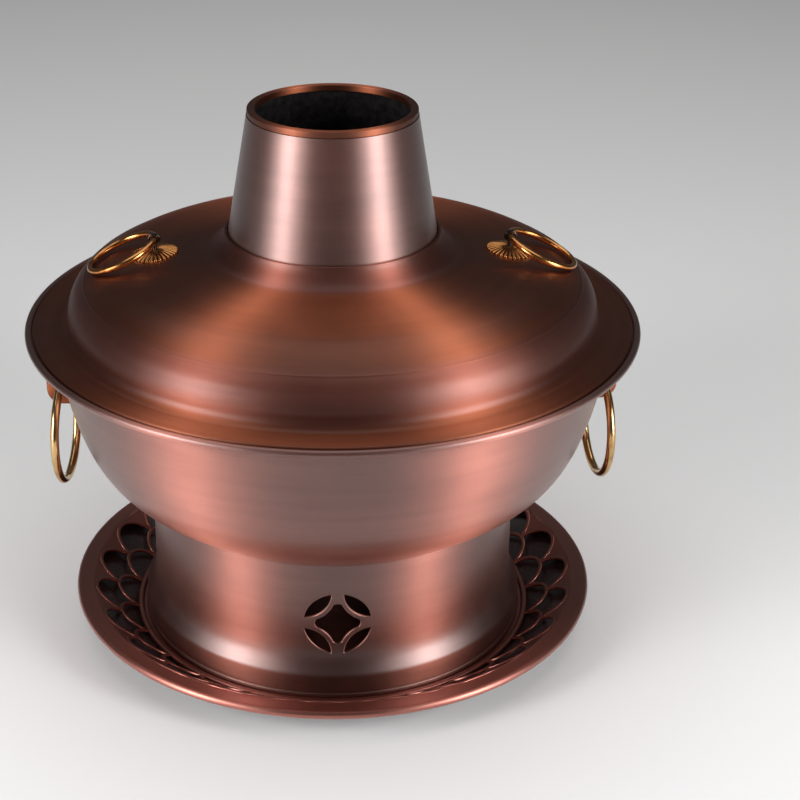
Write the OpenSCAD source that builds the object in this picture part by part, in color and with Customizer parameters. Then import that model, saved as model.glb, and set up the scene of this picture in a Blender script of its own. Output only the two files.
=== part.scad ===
// Chimney hot pot: a charcoal-fired table pot with a ring-shaped trough round a central
// fire tube, standing on a vented skirt in an openwork tray, with a lift-off domed lid.
// Millimetres, +Z up, origin on the table under the middle of the tray.
// The bowl's ring handles lie along X and the front vent faces -Y.

/* [Tray] */
// Outside diameter of the tray over its rolled edge
tray_d = 302; // [292:1:330]
// Height of the tray's rim above the table
tray_h = 21; // [18:0.5:26]
// Radius of the tray's rolled edge
tray_edge_r = 2.4; // [1.8:0.1:3]
// Width of the flat rim with its rolled edge
tray_rim_w = 10; // [8:0.5:14]
// Sheet thickness of the openwork tray
tray_t = 1.2; // [0.8:0.1:1.6]
// Distance of the raised ring's middle from the stand's ridge
tray_bead_gap = 4.4; // [4:0.1:6]
// Radius of the raised ring's section
tray_bead_w = 1.7; // [1.3:0.1:2]
// Height of the raised ring's middle above the tray's floor
tray_bead_rise = 0.5; // [0.4:0.1:1]
// Number of scales in each row of the openwork
arch_count = 25; // [20:1:30]
// Share of the sloping wall that the inner row of scales takes
arch_split = 0.48; // [0.42:0.01:0.54]
// Width of the ribs between the scales
rib_w = 1.5; // [1.1:0.1:2]
// Plain strip between the scales and the rim
arch_margin = 1.1; // [0.8:0.1:2]
// Sheet thickness of the pan under the openwork
pan_t = 1; // [0.8:0.1:1.4]
// Air gap between the pan and the openwork at the rim
pan_gap = 5; // [3:0.5:7]
// Air gap between the pan and the tray's wall and rolled edge
pan_edge_gap = 0.6; // [0.3:0.1:1]

/* [Stand] */
// Height of the stand
stand_h = 80; // [65:1:100]
// Outside radius of the upright part of the stand
stand_r = 104; // [101:0.5:106]
// Outside radius of the ridge above the foot band
ridge_r = 110; // [108:0.5:111]
// Height of the foot band below the ridge
band_h = 13.5; // [10:0.5:16]
// Height over which the stand flares out to its ridge
flare_h = 19; // [14:0.5:24]
// Steepness of the flare just above the ridge
flare_rise = 62; // [50:1:70]
// Pull of the ridge on the flare's curve
ridge_pull = 4.7; // [3:0.1:7]
// Pull of the upright part on the flare's curve
flare_pull = 10.5; // [7:0.5:12]
// Radius of the rolled foot edge
foot_bead_r = 1.5; // [1.2:0.1:1.8]
// Sheet thickness of the stand
stand_t = 1.5; // [1:0.1:2]
// Diameter of the coin-shaped vents
vent_d = 37; // [30:1:42]
// Width of the ribs inside a vent
vent_rib_w = 2.6; // [2:0.1:3.2]
// Distance that the petals keep from the ring they would touch
vent_petal_inset = 3.5; // [3:0.1:4.2]
// Half of the vent's middle opening, corner to corner
vent_heart_r = 12.3; // [11:0.1:13]
// Height of a vent's middle above the foot of the stand
vent_z = 43.5; // [42:0.5:46]

/* [Bowl] */
// Outside diameter of the bowl over its rolled rim
pot_d = 340; // [334:1:352]
// Height from the underside of the bowl's floor to its rim
bowl_h = 99.5; // [90:0.5:110]
// Width of the flange outside the bowl's wall
flange_w = 14.5; // [13:0.5:16]
// Radius of the rolled rim
rim_bead_r = 2; // [1.6:0.1:2.4]
// Sheet thickness of the bowl
bowl_t = 1.6; // [1.2:0.1:2]
// Lean of the wall from upright below the flange
wall_lean = 9; // [6:0.5:11]
// Pull of the upright wall on the bowl's curve
wall_pull = 80; // [70:1:86]
// Rise of the curve where it leaves the floor
floor_rise = 36; // [30:1:40]
// Pull of the floor on the bowl's curve
floor_pull = 31; // [26:1:36]
// How far the floor reaches out past the stand
floor_step = 0.8; // [0.5:0.1:1.5]

/* [Fire tube] */
// Outside radius of the chimney at its mouth
chimney_r = 45.7; // [43:0.1:47]
// Height of the chimney's edge above the bowl's rim
chimney_rise = 119; // [110:1:130]
// Growth of the tube's radius for each millimetre down
tube_taper = 0.1694; // [0.15:0.001:0.18]
// Sheet thickness of the fire tube
tube_t = 1.8; // [1.4:0.1:2.2]
// Width of the chimney's rolled lip
lip_w = 4.2; // [3.6:0.1:4.8]
// Width of the ledge that carries the grate
ledge_w = 8; // [6:0.5:10]
// Thickness of the ledge
ledge_t = 2; // [1.5:0.1:3]
// Thickness of the grate
grate_t = 5; // [4:0.5:7]
// Gap round the grate
grate_clear = 0.6; // [0.4:0.1:1]
// Width of the grate's bars
grate_bar_w = 5; // [4:0.5:6]
// Number of slots in the grate
grate_slots = 9; // [7:2:11]
// Width of the grate's outer ring
grate_ring_w = 10; // [9:0.5:12]

/* [Lid] */
// Sheet thickness of the lid
lid_t = 1.4; // [1:0.1:1.8]
// Gap between the lid's edge and the rolled rim
lid_edge_clear = 0.5; // [0.3:0.1:0.8]
// Radius of the lid's rolled edge
lid_hem_r = 1; // [0.8:0.1:1.2]
// Distance of the lid's shoulder from the pot's outer edge
shoulder_inset = 23.9; // [23:0.1:26]
// Height of the upright part of the shoulder above the rim
shoulder_z = 8.7; // [7:0.1:10]
// Radius of the hollow between flange and shoulder
hollow_r = 6; // [5:0.5:7]
// Radius of the shoulder's roll
shoulder_round = 21; // [18:0.5:23]
// Steepness at the soft line between shoulder and crown
crown_break = 33.4; // [30:0.5:37]
// Radius of the crown's curve
crown_round = 67; // [60:1:72]
// Steepness of the crown near the collar
crown_slope = 7.3; // [6:0.1:9]
// How far the collar spreads from its edge to its foot
collar_spread = 10.5; // [8:0.5:13]
// Height of the collar's edge above the bowl's rim
collar_z = 52.3; // [51:0.1:54]
// Gap between the collar and the chimney
collar_clear = 0.6; // [0.4:0.1:1]
// Roundness of the collar's hollow
collar_pull = 6.5; // [5:0.5:8]

/* [Lid rings] */
// Distance of the rosettes from the lid's shoulder
rosette_inset = 48.6; // [48:0.1:52]
// Diameter of a rosette
rosette_d = 26; // [22:0.5:28]
// Height of a rosette's middle
rosette_h = 3.4; // [2.5:0.1:4]
// Thickness of a rosette's edge
rosette_edge_t = 0.8; // [0.6:0.1:1.2]
// Diameter of a rosette's flat top
rosette_top_d = 4.6; // [4:0.2:6]
// Number of notches round a rosette
rosette_notches = 30; // [20:1:36]
// Radius of the notches
notch_r = 0.55; // [0.4:0.05:0.6]
// Height of the eye's middle above the crown
eye_rise = 8.8; // [8:0.1:10]
// Thickness of the eye's wire
eye_wire_d = 2; // [1.6:0.1:2.2]
// Depth to which the eye's hole is reamed into its wire
eye_ream = 0.15; // [0.1:0.05:0.3]
// Thickness of the eye's shank
pin_d = 2.6; // [2.4:0.1:3]
// Thickness of the shank's bent legs
pin_leg_d = 1.8; // [1.4:0.1:2]
// Length of each bent leg
pin_leg = 5; // [4:0.5:6]
// Gap between the shank and its hole
pin_clear = 0.15; // [0.1:0.05:0.3]
// Thickness of a lid ring's wire
lid_wire_d = 3.5; // [3:0.1:3.8]
// Clearance of the lid ring in its eye
eye_clear = 0.35; // [0.3:0.05:0.6]
// Middle radius of a lid ring
lid_ring_r = 19.5; // [18:0.1:20]
// Gap between a lying lid ring and the lid
lid_ring_gap = 0.3; // [0.2:0.1:1]
// Diameter of the washer under the lid
washer_d = 12; // [10:0.5:14]
// Thickness of the washer
washer_t = 1; // [0.8:0.1:1.4]

/* [Bowl rings] */
// Distance of the ring's hanging point from the bowl's wall
ring_stand_off = 4.08; // [3.58:0.1:6.58]
// Depth of the ring's hanging point below the rim
ring_hang_drop = 38; // [34:0.5:42]
// Middle radius of a bowl ring
bowl_ring_r = 29.5; // [27:0.5:31]
// Thickness of a bowl ring's wire
bowl_wire_d = 4.8; // [4:0.1:5.2]
// Clearance of a bowl ring in its lug
lug_clear = 0.9; // [0.9:0.1:1.2]
// Radius of the lug's round back
lug_r = 9; // [8:0.5:10]
// Height of the lug
lug_h = 26; // [22:1:30]
// Width of the lug along the ring
lug_w = 9; // [7:0.5:10]
// Turn of a hanging ring about the upright
ring_yaw = 6; // [0:0.5:7]
// Distance between the two rivets of a lug
rivet_pitch = 17; // [16:0.5:18]
// Diameter of a rivet's shank
rivet_d = 3; // [2.6:0.1:3.4]
// Diameter of a rivet's head inside the bowl
rivet_head_d = 7; // [6:0.5:8]
// Height of a rivet's head
rivet_head_h = 1.8; // [1.4:0.1:2.2]

/* [Fits] */
// Gap under a part that only rests on another
seat_gap = 0.2; // [0.1:0.05:0.3]

/* [Hidden] */
$fn = 96;
// How far a cutting shape passes the surface that it cuts
cut = 1;
copper = "#9c5f4c";
dark_copper = "#6e4034";
brass = "#b5813c";
gunmetal = "#4a3f3c";
black_enamel = "#2a2627";
iron = "#3a3a3c";

// Heights
tray_floor = pan_t + tray_t;
stand_foot = tray_floor + seat_gap;
floor_z = stand_foot + stand_h;
rim_z = floor_z + bowl_h;
chimney_z = rim_z + chimney_rise;
lid_seat = rim_z + seat_gap;
lid_top = lid_seat + lid_t;

// Curves made of points (r, z)
function between(a, b, t) = a + (b - a) * t;
function bezier(a, b, c, d, t) =
    pow(1 - t, 3) * a + 3 * pow(1 - t, 2) * t * b + 3 * (1 - t) * t * t * c + pow(t, 3) * d;
function bezier_points(a, b, c, d, steps) = [for (i = [0:steps]) bezier(a, b, c, d, i / steps)];
function arc_points(c, r, from, to, steps) =
    [for (i = [0:steps]) c + r * [cos(between(from, to, i / steps)), sin(between(from, to, i / steps))]];
function reversed(p) = [for (i = [len(p) - 1:-1:0]) p[i]];
// Height of a curve that runs from large radius to small, at radius r
function height_at(p, r) =
    [for (i = [1:len(p) - 1]) if (p[i][0] <= r && p[i - 1][0] > r)
        between(p[i - 1], p[i], (p[i - 1][0] - r) / (p[i - 1][0] - p[i][0]))[1]][0];
// Radius of a falling curve at height z
function radius_at(p, z) =
    [for (i = [1:len(p) - 1]) if (p[i][1] <= z && p[i - 1][1] > z)
        between(p[i - 1], p[i], (p[i - 1][1] - z) / (p[i - 1][1] - p[i][1]))[0]][0];
// The same curve moved sideways by t, to the left of its direction
function beside(p, t) = [for (i = [0:len(p) - 1])
    let (d = p[min(i + 1, len(p) - 1)] - p[max(i - 1, 0)])
    p[i] + t * [-d[1], d[0]] / norm(d)];

// ---------------------------------------------------------------- tray

tray_edge_x = tray_d / 2 - tray_edge_r;
tray_rim_r = tray_d / 2 - tray_rim_w;
tray_bead_r = ridge_r + tray_bead_gap;
bead_z = tray_floor + tray_bead_rise;
wall_slope = atan((tray_h - bead_z) / (tray_rim_r - tray_bead_r));
wall_drop = tray_t / cos(wall_slope);
arch_turn = 360 / arch_count;
arch_foot_r = tray_bead_r + tray_bead_w;
arch_joint_r = between(arch_foot_r, tray_rim_r - arch_margin, arch_split);
arch_top_r = tray_rim_r - arch_margin;

// Radius of the round arch that springs from radius a on both sides and tops out at radius b
function arch_r(a, b) =
    let (h = b - a * cos(arch_turn / 2), c = a * sin(arch_turn / 2)) (c * c + h * h) / (2 * h);
inner_arch_r = arch_r(arch_foot_r, arch_joint_r);
outer_arch_r = arch_r(arch_joint_r, arch_top_r);

module inner_arch(grow) {
    translate([arch_joint_r - inner_arch_r, 0]) circle(r = inner_arch_r + grow);
}

module outer_arch(grow) {
    translate([arch_top_r - outer_arch_r, 0]) circle(r = outer_arch_r + grow);
}

// One opening of the inner row, under the arch that points along X
module inner_opening() {
    difference() {
        inner_arch(-rib_w / 2);
        circle(r = arch_foot_r);
    }
}

// One opening of the outer row, between its own arch and the two inner arches beside it
module outer_opening() {
    difference() {
        outer_arch(-rib_w / 2);
        for (side = [-1, 1]) rotate(side * arch_turn / 2) inner_arch(rib_w / 2);
    }
}

module tray_openwork() {
    color(dark_copper) {
        difference() {
            rotate_extrude() polygon([
                [tray_bead_r, bead_z - wall_drop], [tray_rim_r, tray_h - wall_drop],
                [tray_rim_r, tray_h], [tray_bead_r, bead_z]
            ]);
            for (i = [0:arch_count - 1]) {
                rotate(i * arch_turn) linear_extrude(tray_h) outer_opening();
                rotate((i + 0.5) * arch_turn) linear_extrude(tray_h) inner_opening();
            }
        }
        rotate_extrude() translate([tray_rim_r, tray_h - wall_drop])
            square([tray_edge_x - tray_rim_r, wall_drop]);
        rotate_extrude() translate([tray_edge_x, tray_h - tray_edge_r]) circle(tray_edge_r);
        rotate_extrude() translate([tray_bead_r, bead_z]) circle(tray_bead_w);
        translate([0, 0, pan_t]) cylinder(h = tray_t, r = tray_bead_r);
    }
}

// The pan is a closed black dish; its flange carries the openwork tray's rim
module tray_pan() {
    flange_r = tray_edge_x - tray_edge_r - pan_edge_gap;
    flange_z = tray_h - wall_drop;
    step_r = tray_rim_r + pan_edge_gap;
    foot_r = tray_bead_r + tray_bead_w;
    step_z = flange_z - pan_gap;
    color(black_enamel) rotate_extrude() polygon([
        [0, 0], [foot_r, 0], [step_r + pan_t, step_z - pan_t], [step_r + pan_t, flange_z - pan_t],
        [flange_r, flange_z - pan_t], [flange_r, flange_z], [step_r, flange_z], [step_r, step_z],
        [foot_r - pan_t, pan_t], [0, pan_t]
    ]);
}

// ---------------------------------------------------------------- stand

ridge_z = stand_foot + band_h;
flare_steps = 8;
// Outer line of the stand from its top down to the ridge and the foot
stand_line = concat(
    [[stand_r, floor_z]],
    reversed(bezier_points(
        [ridge_r, ridge_z], [ridge_r, ridge_z] + ridge_pull * [-cos(flare_rise), sin(flare_rise)],
        [stand_r, ridge_z + flare_h - flare_pull], [stand_r, ridge_z + flare_h], flare_steps)),
    [[ridge_r, stand_foot + foot_bead_r]]
);

// Traditional coin pattern, drawn flat round its own middle
module coin_openings() {
    r = vent_d / 2;
    for (a = [0:90:270]) rotate(a) intersection() {
        circle(r = r);
        translate([r, r]) circle(r = r - vent_petal_inset);
    }
    difference() {
        circle(r = vent_heart_r);
        for (a = [0:90:270]) rotate(a) translate([r, r])
            circle(r = r - vent_petal_inset + vent_rib_w);
    }
}

module stand() {
    color(copper) {
        difference() {
            rotate_extrude() polygon(concat(stand_line, reversed(beside(stand_line, -stand_t))));
            translate([0, 0, stand_foot + vent_z]) rotate([90, 0, 0])
                linear_extrude(2 * (ridge_r + cut), center = true) coin_openings();
        }
        rotate_extrude() translate([ridge_r - stand_t / 2, stand_foot + foot_bead_r])
            circle(foot_bead_r);
    }
}

// ---------------------------------------------------------------- bowl

rim_x = pot_d / 2 - rim_bead_r;
mouth_r = pot_d / 2 - flange_w;
floor_r = stand_r + floor_step;
// Outer line of the bowl's wall, from the mouth down to the floor
wall_line = bezier_points(
    [mouth_r, rim_z - bowl_t],
    [mouth_r, rim_z - bowl_t] - wall_pull * [sin(wall_lean), cos(wall_lean)],
    [floor_r, floor_z] + floor_pull * [cos(floor_rise), sin(floor_rise)],
    [floor_r, floor_z], 28);
wall_inner = beside(wall_line, -bowl_t);
ring_hang_z = rim_z - ring_hang_drop;
ring_hang_x = radius_at(wall_line, ring_hang_z) + ring_stand_off;

function tube_r(z) = chimney_r + tube_taper * (chimney_z - z);

// The space inside the bowl's outer surface, used to fit what is fixed to the wall
module bowl_outside() {
    rotate_extrude() polygon(concat([[0, rim_z]], [[mouth_r, rim_z]], wall_line, [[0, floor_z]]));
}

module bowl_section() {
    mouth_in = mouth_r - bowl_t / cos(wall_lean);
    inner = [for (p = wall_inner) if (p[1] > floor_z + bowl_t && p[1] < rim_z - bowl_t) p];
    polygon(concat(
        [[mouth_in, rim_z], [rim_x, rim_z], [rim_x, rim_z - bowl_t]],
        wall_line,
        [[tube_r(floor_z), floor_z], [tube_r(floor_z + bowl_t), floor_z + bowl_t]],
        [[floor_r - bowl_t / tan(90 - floor_rise / 2), floor_z + bowl_t]],
        reversed(inner)
    ));
}

// Places its children at the hanging point of the right ring, or mirrored at the left
module at_lug(side) {
    mirror([side < 0 ? 1 : 0, 0, 0]) translate([ring_hang_x, 0, ring_hang_z]) children();
}

// Two level rods through the lug and the wall, one above and one below the ring's hole
module rivet_rods(side, d) {
    for (z = [-1, 1]) at_lug(side) translate([0, 0, z * rivet_pitch / 2])
        rotate([0, 90, 0]) cylinder(h = 4 * lug_r, d = d, center = true);
}

module bowl() {
    color(copper) {
        difference() {
            rotate_extrude() bowl_section();
            for (side = [-1, 1]) rivet_rods(side, rivet_d);
        }
        rotate_extrude() translate([rim_x, rim_z]) circle(rim_bead_r);
    }
}

// ---------------------------------------------------------------- fire tube

tube_end_z = chimney_z - lip_w / 2;
tube_wall = tube_t * sqrt(1 + tube_taper * tube_taper);
ledge_top = floor_z + ledge_t;
grate_r = tube_r(ledge_top + grate_t) - tube_wall - grate_clear;

module fire_tube() {
    color(copper) difference() {
        translate([0, 0, floor_z])
            cylinder(h = tube_end_z - floor_z, r1 = tube_r(floor_z), r2 = tube_r(tube_end_z));
        translate([0, 0, ledge_top]) cylinder(
            h = tube_end_z - ledge_top,
            r1 = tube_r(ledge_top) - tube_wall, r2 = tube_r(tube_end_z) - tube_wall);
        translate([0, 0, tube_end_z - cut])
            cylinder(h = 2 * cut, r = tube_r(tube_end_z) - tube_wall);
        translate([0, 0, floor_z - cut])
            cylinder(h = ledge_t + 2 * cut, r = tube_r(ledge_top) - tube_wall - ledge_w);
    }
}

module chimney_lip() {
    color(copper) rotate_extrude() {
        translate([chimney_r - lip_w, tube_end_z]) square([lip_w, lip_w / 2]);
        translate([chimney_r - lip_w / 2, chimney_z]) circle(lip_w / 2);
    }
}

module grate() {
    inner_r = grate_r - grate_ring_w;
    pitch = 2 * inner_r / grate_slots;
    color(iron) translate([0, 0, ledge_top]) difference() {
        cylinder(h = grate_t, r = grate_r);
        intersection() {
            translate([0, 0, -cut]) cylinder(h = grate_t + 2 * cut, r = inner_r);
            for (i = [0:grate_slots - 1])
                translate([-inner_r + i * pitch + grate_bar_w / 2, -inner_r, -cut])
                    cube([pitch - grate_bar_w, 2 * inner_r, grate_t + 2 * cut]);
        }
    }
}

// ---------------------------------------------------------------- lid

shoulder_r = pot_d / 2 - shoulder_inset;
shoulder_c = [shoulder_r - shoulder_round, rim_z + shoulder_z];
break_angle = 90 - crown_break;
break_point = shoulder_c + shoulder_round * [cos(break_angle), sin(break_angle)];
crown_c = break_point - crown_round * [cos(break_angle), sin(break_angle)];
crown_end = crown_c + crown_round * [sin(crown_slope), cos(crown_slope)];
collar_edge_z = rim_z + collar_z;
collar_edge = [tube_r(collar_edge_z) + collar_clear + lid_t, collar_edge_z];
collar_foot = crown_end
    + (crown_end[0] - collar_edge[0] - collar_spread) * [-1, tan(crown_slope)];
lid_edge_r = rim_x - rim_bead_r - lid_edge_clear;

// Outer line of the lid from the flange in to the collar's edge
lid_line = concat(
    arc_points([shoulder_r + hollow_r, lid_top + hollow_r], hollow_r, 270, 180, 8),
    arc_points(shoulder_c, shoulder_round, 0, break_angle, 12),
    [for (i = [1:8]) crown_c + crown_round * [
        cos(between(break_angle, 90 - crown_slope, i / 8)),
        sin(between(break_angle, 90 - crown_slope, i / 8))]],
    bezier_points(
        collar_foot, collar_foot + collar_pull * [-cos(crown_slope), sin(crown_slope)],
        collar_edge - collar_pull * [-tube_taper, 1], collar_edge, 12)
);

module lid_section() {
    inside = beside(lid_line, lid_t);
    hem_x = lid_edge_r - lid_hem_r;
    polygon(concat(
        [[hem_x, lid_seat], [hem_x, lid_top]],
        lid_line,
        reversed([for (p = inside) if (p[1] > lid_seat) p]),
        [[shoulder_r + hollow_r, lid_seat]]
    ));
    translate([hem_x, lid_seat + lid_hem_r]) circle(lid_hem_r);
}

// Everything below the lid's outer surface, used to seat what stands on the lid
module lid_outside() {
    rotate_extrude() polygon(concat([[0, rim_z]], [[shoulder_r + hollow_r, rim_z]], lid_line,
        [[0, collar_edge_z]]));
}

module lid_inside() {
    inside = beside(lid_line, lid_t);
    top = inside[len(inside) - 1];
    rotate_extrude() polygon(concat([[0, lid_seat]], [[shoulder_r + hollow_r, lid_seat]],
        [for (p = inside) if (p[1] > lid_seat) p], [[0, top[1]]]));
}

rosette_x = shoulder_r - rosette_inset;
crown_z = height_at(lid_line, rosette_x);
eye_hole_r = lid_wire_d / 2 + eye_clear;
eye_r = eye_hole_r + eye_wire_d / 2 - eye_ream;
eye_z = crown_z + eye_rise;
pin_reach = rosette_h + lid_t + washer_t + cut;
// Height of the washer's middle line under the lid
washer_z = height_at(beside(lid_line, lid_t), rosette_x) - washer_t;

// Places its children on the crown at a rosette, leaning with the crown
module at_rosette(side) {
    mirror([side < 0 ? 1 : 0, 0, 0]) translate([rosette_x, 0, crown_z]) rotate([0, crown_slope, 0])
        children();
}

module pin_hole(side) {
    mirror([side < 0 ? 1 : 0, 0, 0]) translate([rosette_x, 0, crown_z - pin_reach])
        cylinder(h = 2 * pin_reach, d = pin_d + 2 * pin_clear);
}

module lid() {
    color(copper) difference() {
        rotate_extrude() lid_section();
        for (side = [-1, 1]) pin_hole(side);
    }
}

// A notched cone of sheet brass, cut underneath to the lid's curve
module rosette(side) {
    color(brass) difference() {
        at_rosette(side) {
            translate([0, 0, rosette_edge_t]) cylinder(
                h = rosette_h - rosette_edge_t, r1 = rosette_d / 2, r2 = rosette_top_d / 2);
            translate([0, 0, -cut]) cylinder(h = cut + rosette_edge_t, r = rosette_d / 2);
        }
        at_rosette(side) for (i = [0:rosette_notches - 1]) rotate(i * 360 / rosette_notches)
            translate([rosette_d / 2, 0, -2 * cut]) cylinder(h = 2 * cut + rosette_h, r = notch_r);
        lid_outside();
        pin_hole(side);
    }
}

module lid_rosette_left() { rosette(-1); }
module lid_rosette_right() { rosette(1); }

// Eye of a split pin: the loop, its shank and the two ends bent out under the washer
module lid_eye(side) {
    leg_z = washer_z - pin_leg_d / 2 - pin_clear;
    color(gunmetal) mirror([side < 0 ? 1 : 0, 0, 0]) translate([rosette_x, 0, 0]) {
        difference() {
            union() {
                translate([0, 0, eye_z]) rotate([90, 0, 0]) rotate_extrude()
                    translate([eye_r, 0]) circle(eye_wire_d / 2);
                translate([0, 0, leg_z - pin_leg_d])
                    cylinder(h = eye_z - eye_r - leg_z + pin_leg_d, d = pin_d);
            }
            translate([0, 0, eye_z]) rotate([90, 0, 0])
                cylinder(h = 2 * pin_d, r = eye_hole_r, center = true);
        }
        translate([0, 0, leg_z]) rotate([90, 0, 0])
            cylinder(h = 2 * pin_leg, d = pin_leg_d, center = true);
    }
}

module lid_eye_left() { lid_eye(-1); }
module lid_eye_right() { lid_eye(1); }

module lid_washer(side) {
    color(brass) difference() {
        mirror([side < 0 ? 1 : 0, 0, 0]) translate([rosette_x, 0, washer_z])
            cylinder(h = 2 * washer_t, d = washer_d);
        difference() {
            translate([0, 0, lid_seat]) cylinder(h = collar_z, r = lid_edge_r);
            lid_inside();
        }
        pin_hole(side);
    }
}

module lid_washer_left() { lid_washer(-1); }
module lid_washer_right() { lid_washer(1); }

module wire_ring(r, d) {
    rotate_extrude() translate([r, 0]) circle(d / 2);
}

// A point of a lid ring's middle line, at turn t, when the ring slopes down by lie degrees
function lid_ring_point(lie, t) = let (out = lid_ring_r * (1 + cos(t)))
    [rosette_x + out * cos(lie), lid_ring_r * sin(t), eye_z - out * sin(lie)];
// Least height of that middle line above the lid
function lid_ring_height(lie) = min([for (t = [0:15:90])
    let (p = lid_ring_point(lie, t)) p[2] - height_at(lid_line, norm([p[0], p[1]]))]);
// Steepest slope that keeps the ring at height h, found by halving
function settle(h, low, high, steps) = steps == 0 ? low : let (middle = (low + high) / 2)
    lid_ring_height(middle) > h ? settle(h, middle, high, steps - 1) : settle(h, low, middle, steps - 1);
lid_ring_lie = settle((lid_wire_d / 2 + lid_ring_gap) / cos(crown_break), 0, 45, 12);

// The ring hangs from its eye and lies outwards and down on the lid
module lid_ring(side) {
    color(brass) mirror([side < 0 ? 1 : 0, 0, 0]) translate([rosette_x, 0, eye_z])
        rotate([0, lid_ring_lie, 0]) translate([lid_ring_r, 0, 0]) wire_ring(lid_ring_r, lid_wire_d);
}

module lid_ring_left() { lid_ring(-1); }
module lid_ring_right() { lid_ring(1); }

// ---------------------------------------------------------------- bowl handles

lug_hole_r = bowl_wire_d / 2 + lug_clear;

// Side view of a lug: round-backed, and running on into the wall behind it
module lug_outline(grow) {
    half = lug_h / 2 - lug_r;
    for (z = [-half, half]) translate([0, z]) circle(lug_r + grow);
    translate([-2 * lug_r, -half - lug_r - grow]) square([2 * lug_r, lug_h + 2 * grow]);
    translate([0, -half]) square([lug_r + grow, 2 * half]);
}

module handle_lug(side) {
    color(brass) difference() {
        at_lug(side) rotate([90, 0, 0]) linear_extrude(lug_w, center = true) lug_outline(0);
        bowl_outside();
        at_lug(side) rotate([90, 0, 0]) cylinder(h = 2 * lug_w, r = lug_hole_r, center = true);
        rivet_rods(side, rivet_d);
    }
}

module handle_lug_left() { handle_lug(-1); }
module handle_lug_right() { handle_lug(1); }

// Two rivets through the lug and the bowl's wall, filed flush outside and headed inside
module handle_rivets(side) {
    color(copper) {
        difference() {
            intersection() {
                rivet_rods(side, rivet_d);
                at_lug(side) rotate([90, 0, 0]) linear_extrude(lug_w, center = true) lug_outline(0);
            }
            rotate_extrude() polygon(concat([[0, rim_z]], wall_inner, [[0, floor_z]]));
        }
        intersection() {
            rivet_rods(side, rivet_head_d);
            rotate_extrude() polygon(concat(wall_inner, reversed(beside(wall_line, -bowl_t - rivet_head_h))));
            at_lug(side) rotate([90, 0, 0])
                linear_extrude(2 * rivet_head_d, center = true) lug_outline(rivet_head_d);
        }
    }
}

module handle_rivets_left() { handle_rivets(-1); }
module handle_rivets_right() { handle_rivets(1); }

module bowl_ring(side) {
    color(brass) at_lug(side) rotate([0, 0, ring_yaw])
        translate([0, 0, -bowl_ring_r]) rotate([0, 90, 0]) wire_ring(bowl_ring_r, bowl_wire_d);
}

module bowl_ring_left() { bowl_ring(-1); }
module bowl_ring_right() { bowl_ring(1); }

tray_pan();
tray_openwork();
stand();
bowl();
fire_tube();
chimney_lip();
grate();
lid();
lid_rosette_left();
lid_rosette_right();
lid_eye_left();
lid_eye_right();
lid_washer_left();
lid_washer_right();
lid_ring_left();
lid_ring_right();
handle_lug_left();
handle_lug_right();
handle_rivets_left();
handle_rivets_right();
bowl_ring_left();
bowl_ring_right();
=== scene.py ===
"""Dresses a charcoal-fired chimney hot pot in antique copper and brass, round its packed solids."""
import math

import bpy
import numpy as np
from bpy.props import FloatProperty, FloatVectorProperty, IntProperty, PointerProperty
from mathutils.geometry import delaunay_2d_cdt
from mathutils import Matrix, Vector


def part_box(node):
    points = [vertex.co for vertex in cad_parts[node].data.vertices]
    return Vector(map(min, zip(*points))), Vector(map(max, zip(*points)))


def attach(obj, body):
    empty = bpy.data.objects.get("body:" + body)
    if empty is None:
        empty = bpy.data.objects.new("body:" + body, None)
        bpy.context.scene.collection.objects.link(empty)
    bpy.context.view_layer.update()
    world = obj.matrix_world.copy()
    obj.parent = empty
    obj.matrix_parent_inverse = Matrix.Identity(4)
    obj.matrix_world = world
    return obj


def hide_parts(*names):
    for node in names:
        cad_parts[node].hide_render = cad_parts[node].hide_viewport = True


bl_info = {
    "name": "Chimney hot pot",
    "version": (1, 0, 0),
    "blender": (4, 5, 0),
    "location": "3D View > Sidebar > Hot Pot",
    "description": "Builds the surfaces, finishes and studio of a chimney hot pot",
    "category": "Object",
}

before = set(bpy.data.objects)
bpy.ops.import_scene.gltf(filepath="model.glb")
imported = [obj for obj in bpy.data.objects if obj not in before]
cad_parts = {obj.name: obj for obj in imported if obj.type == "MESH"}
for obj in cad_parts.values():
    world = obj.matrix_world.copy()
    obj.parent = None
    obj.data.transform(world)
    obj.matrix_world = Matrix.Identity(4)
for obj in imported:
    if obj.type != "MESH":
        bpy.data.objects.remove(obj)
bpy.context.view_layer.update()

MM = 0.001
TURNS = 288


def top(node):
    """Highest point of a CAD node."""
    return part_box(node)[1].z


def foot(node):
    """Lowest point of a CAD node."""
    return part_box(node)[0].z


def reach(node):
    """How far a CAD node reaches from the middle along X."""
    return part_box(node)[1].x


# ---------------------------------------------------------------- settings


def length(name, description, millimetres):
    return FloatProperty(
        name=name, description=description, default=millimetres * MM, unit="LENGTH", precision=4
    )


def angle(name, description, degrees):
    return FloatProperty(
        name=name, description=description, default=math.radians(degrees), subtype="ANGLE"
    )


def share(name, description, value):
    return FloatProperty(name=name, description=description, default=value, subtype="FACTOR")


def colour(name, description, value):
    return FloatVectorProperty(
        name=name, description=description, default=value, subtype="COLOR", size=3, min=0, max=1
    )


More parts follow.
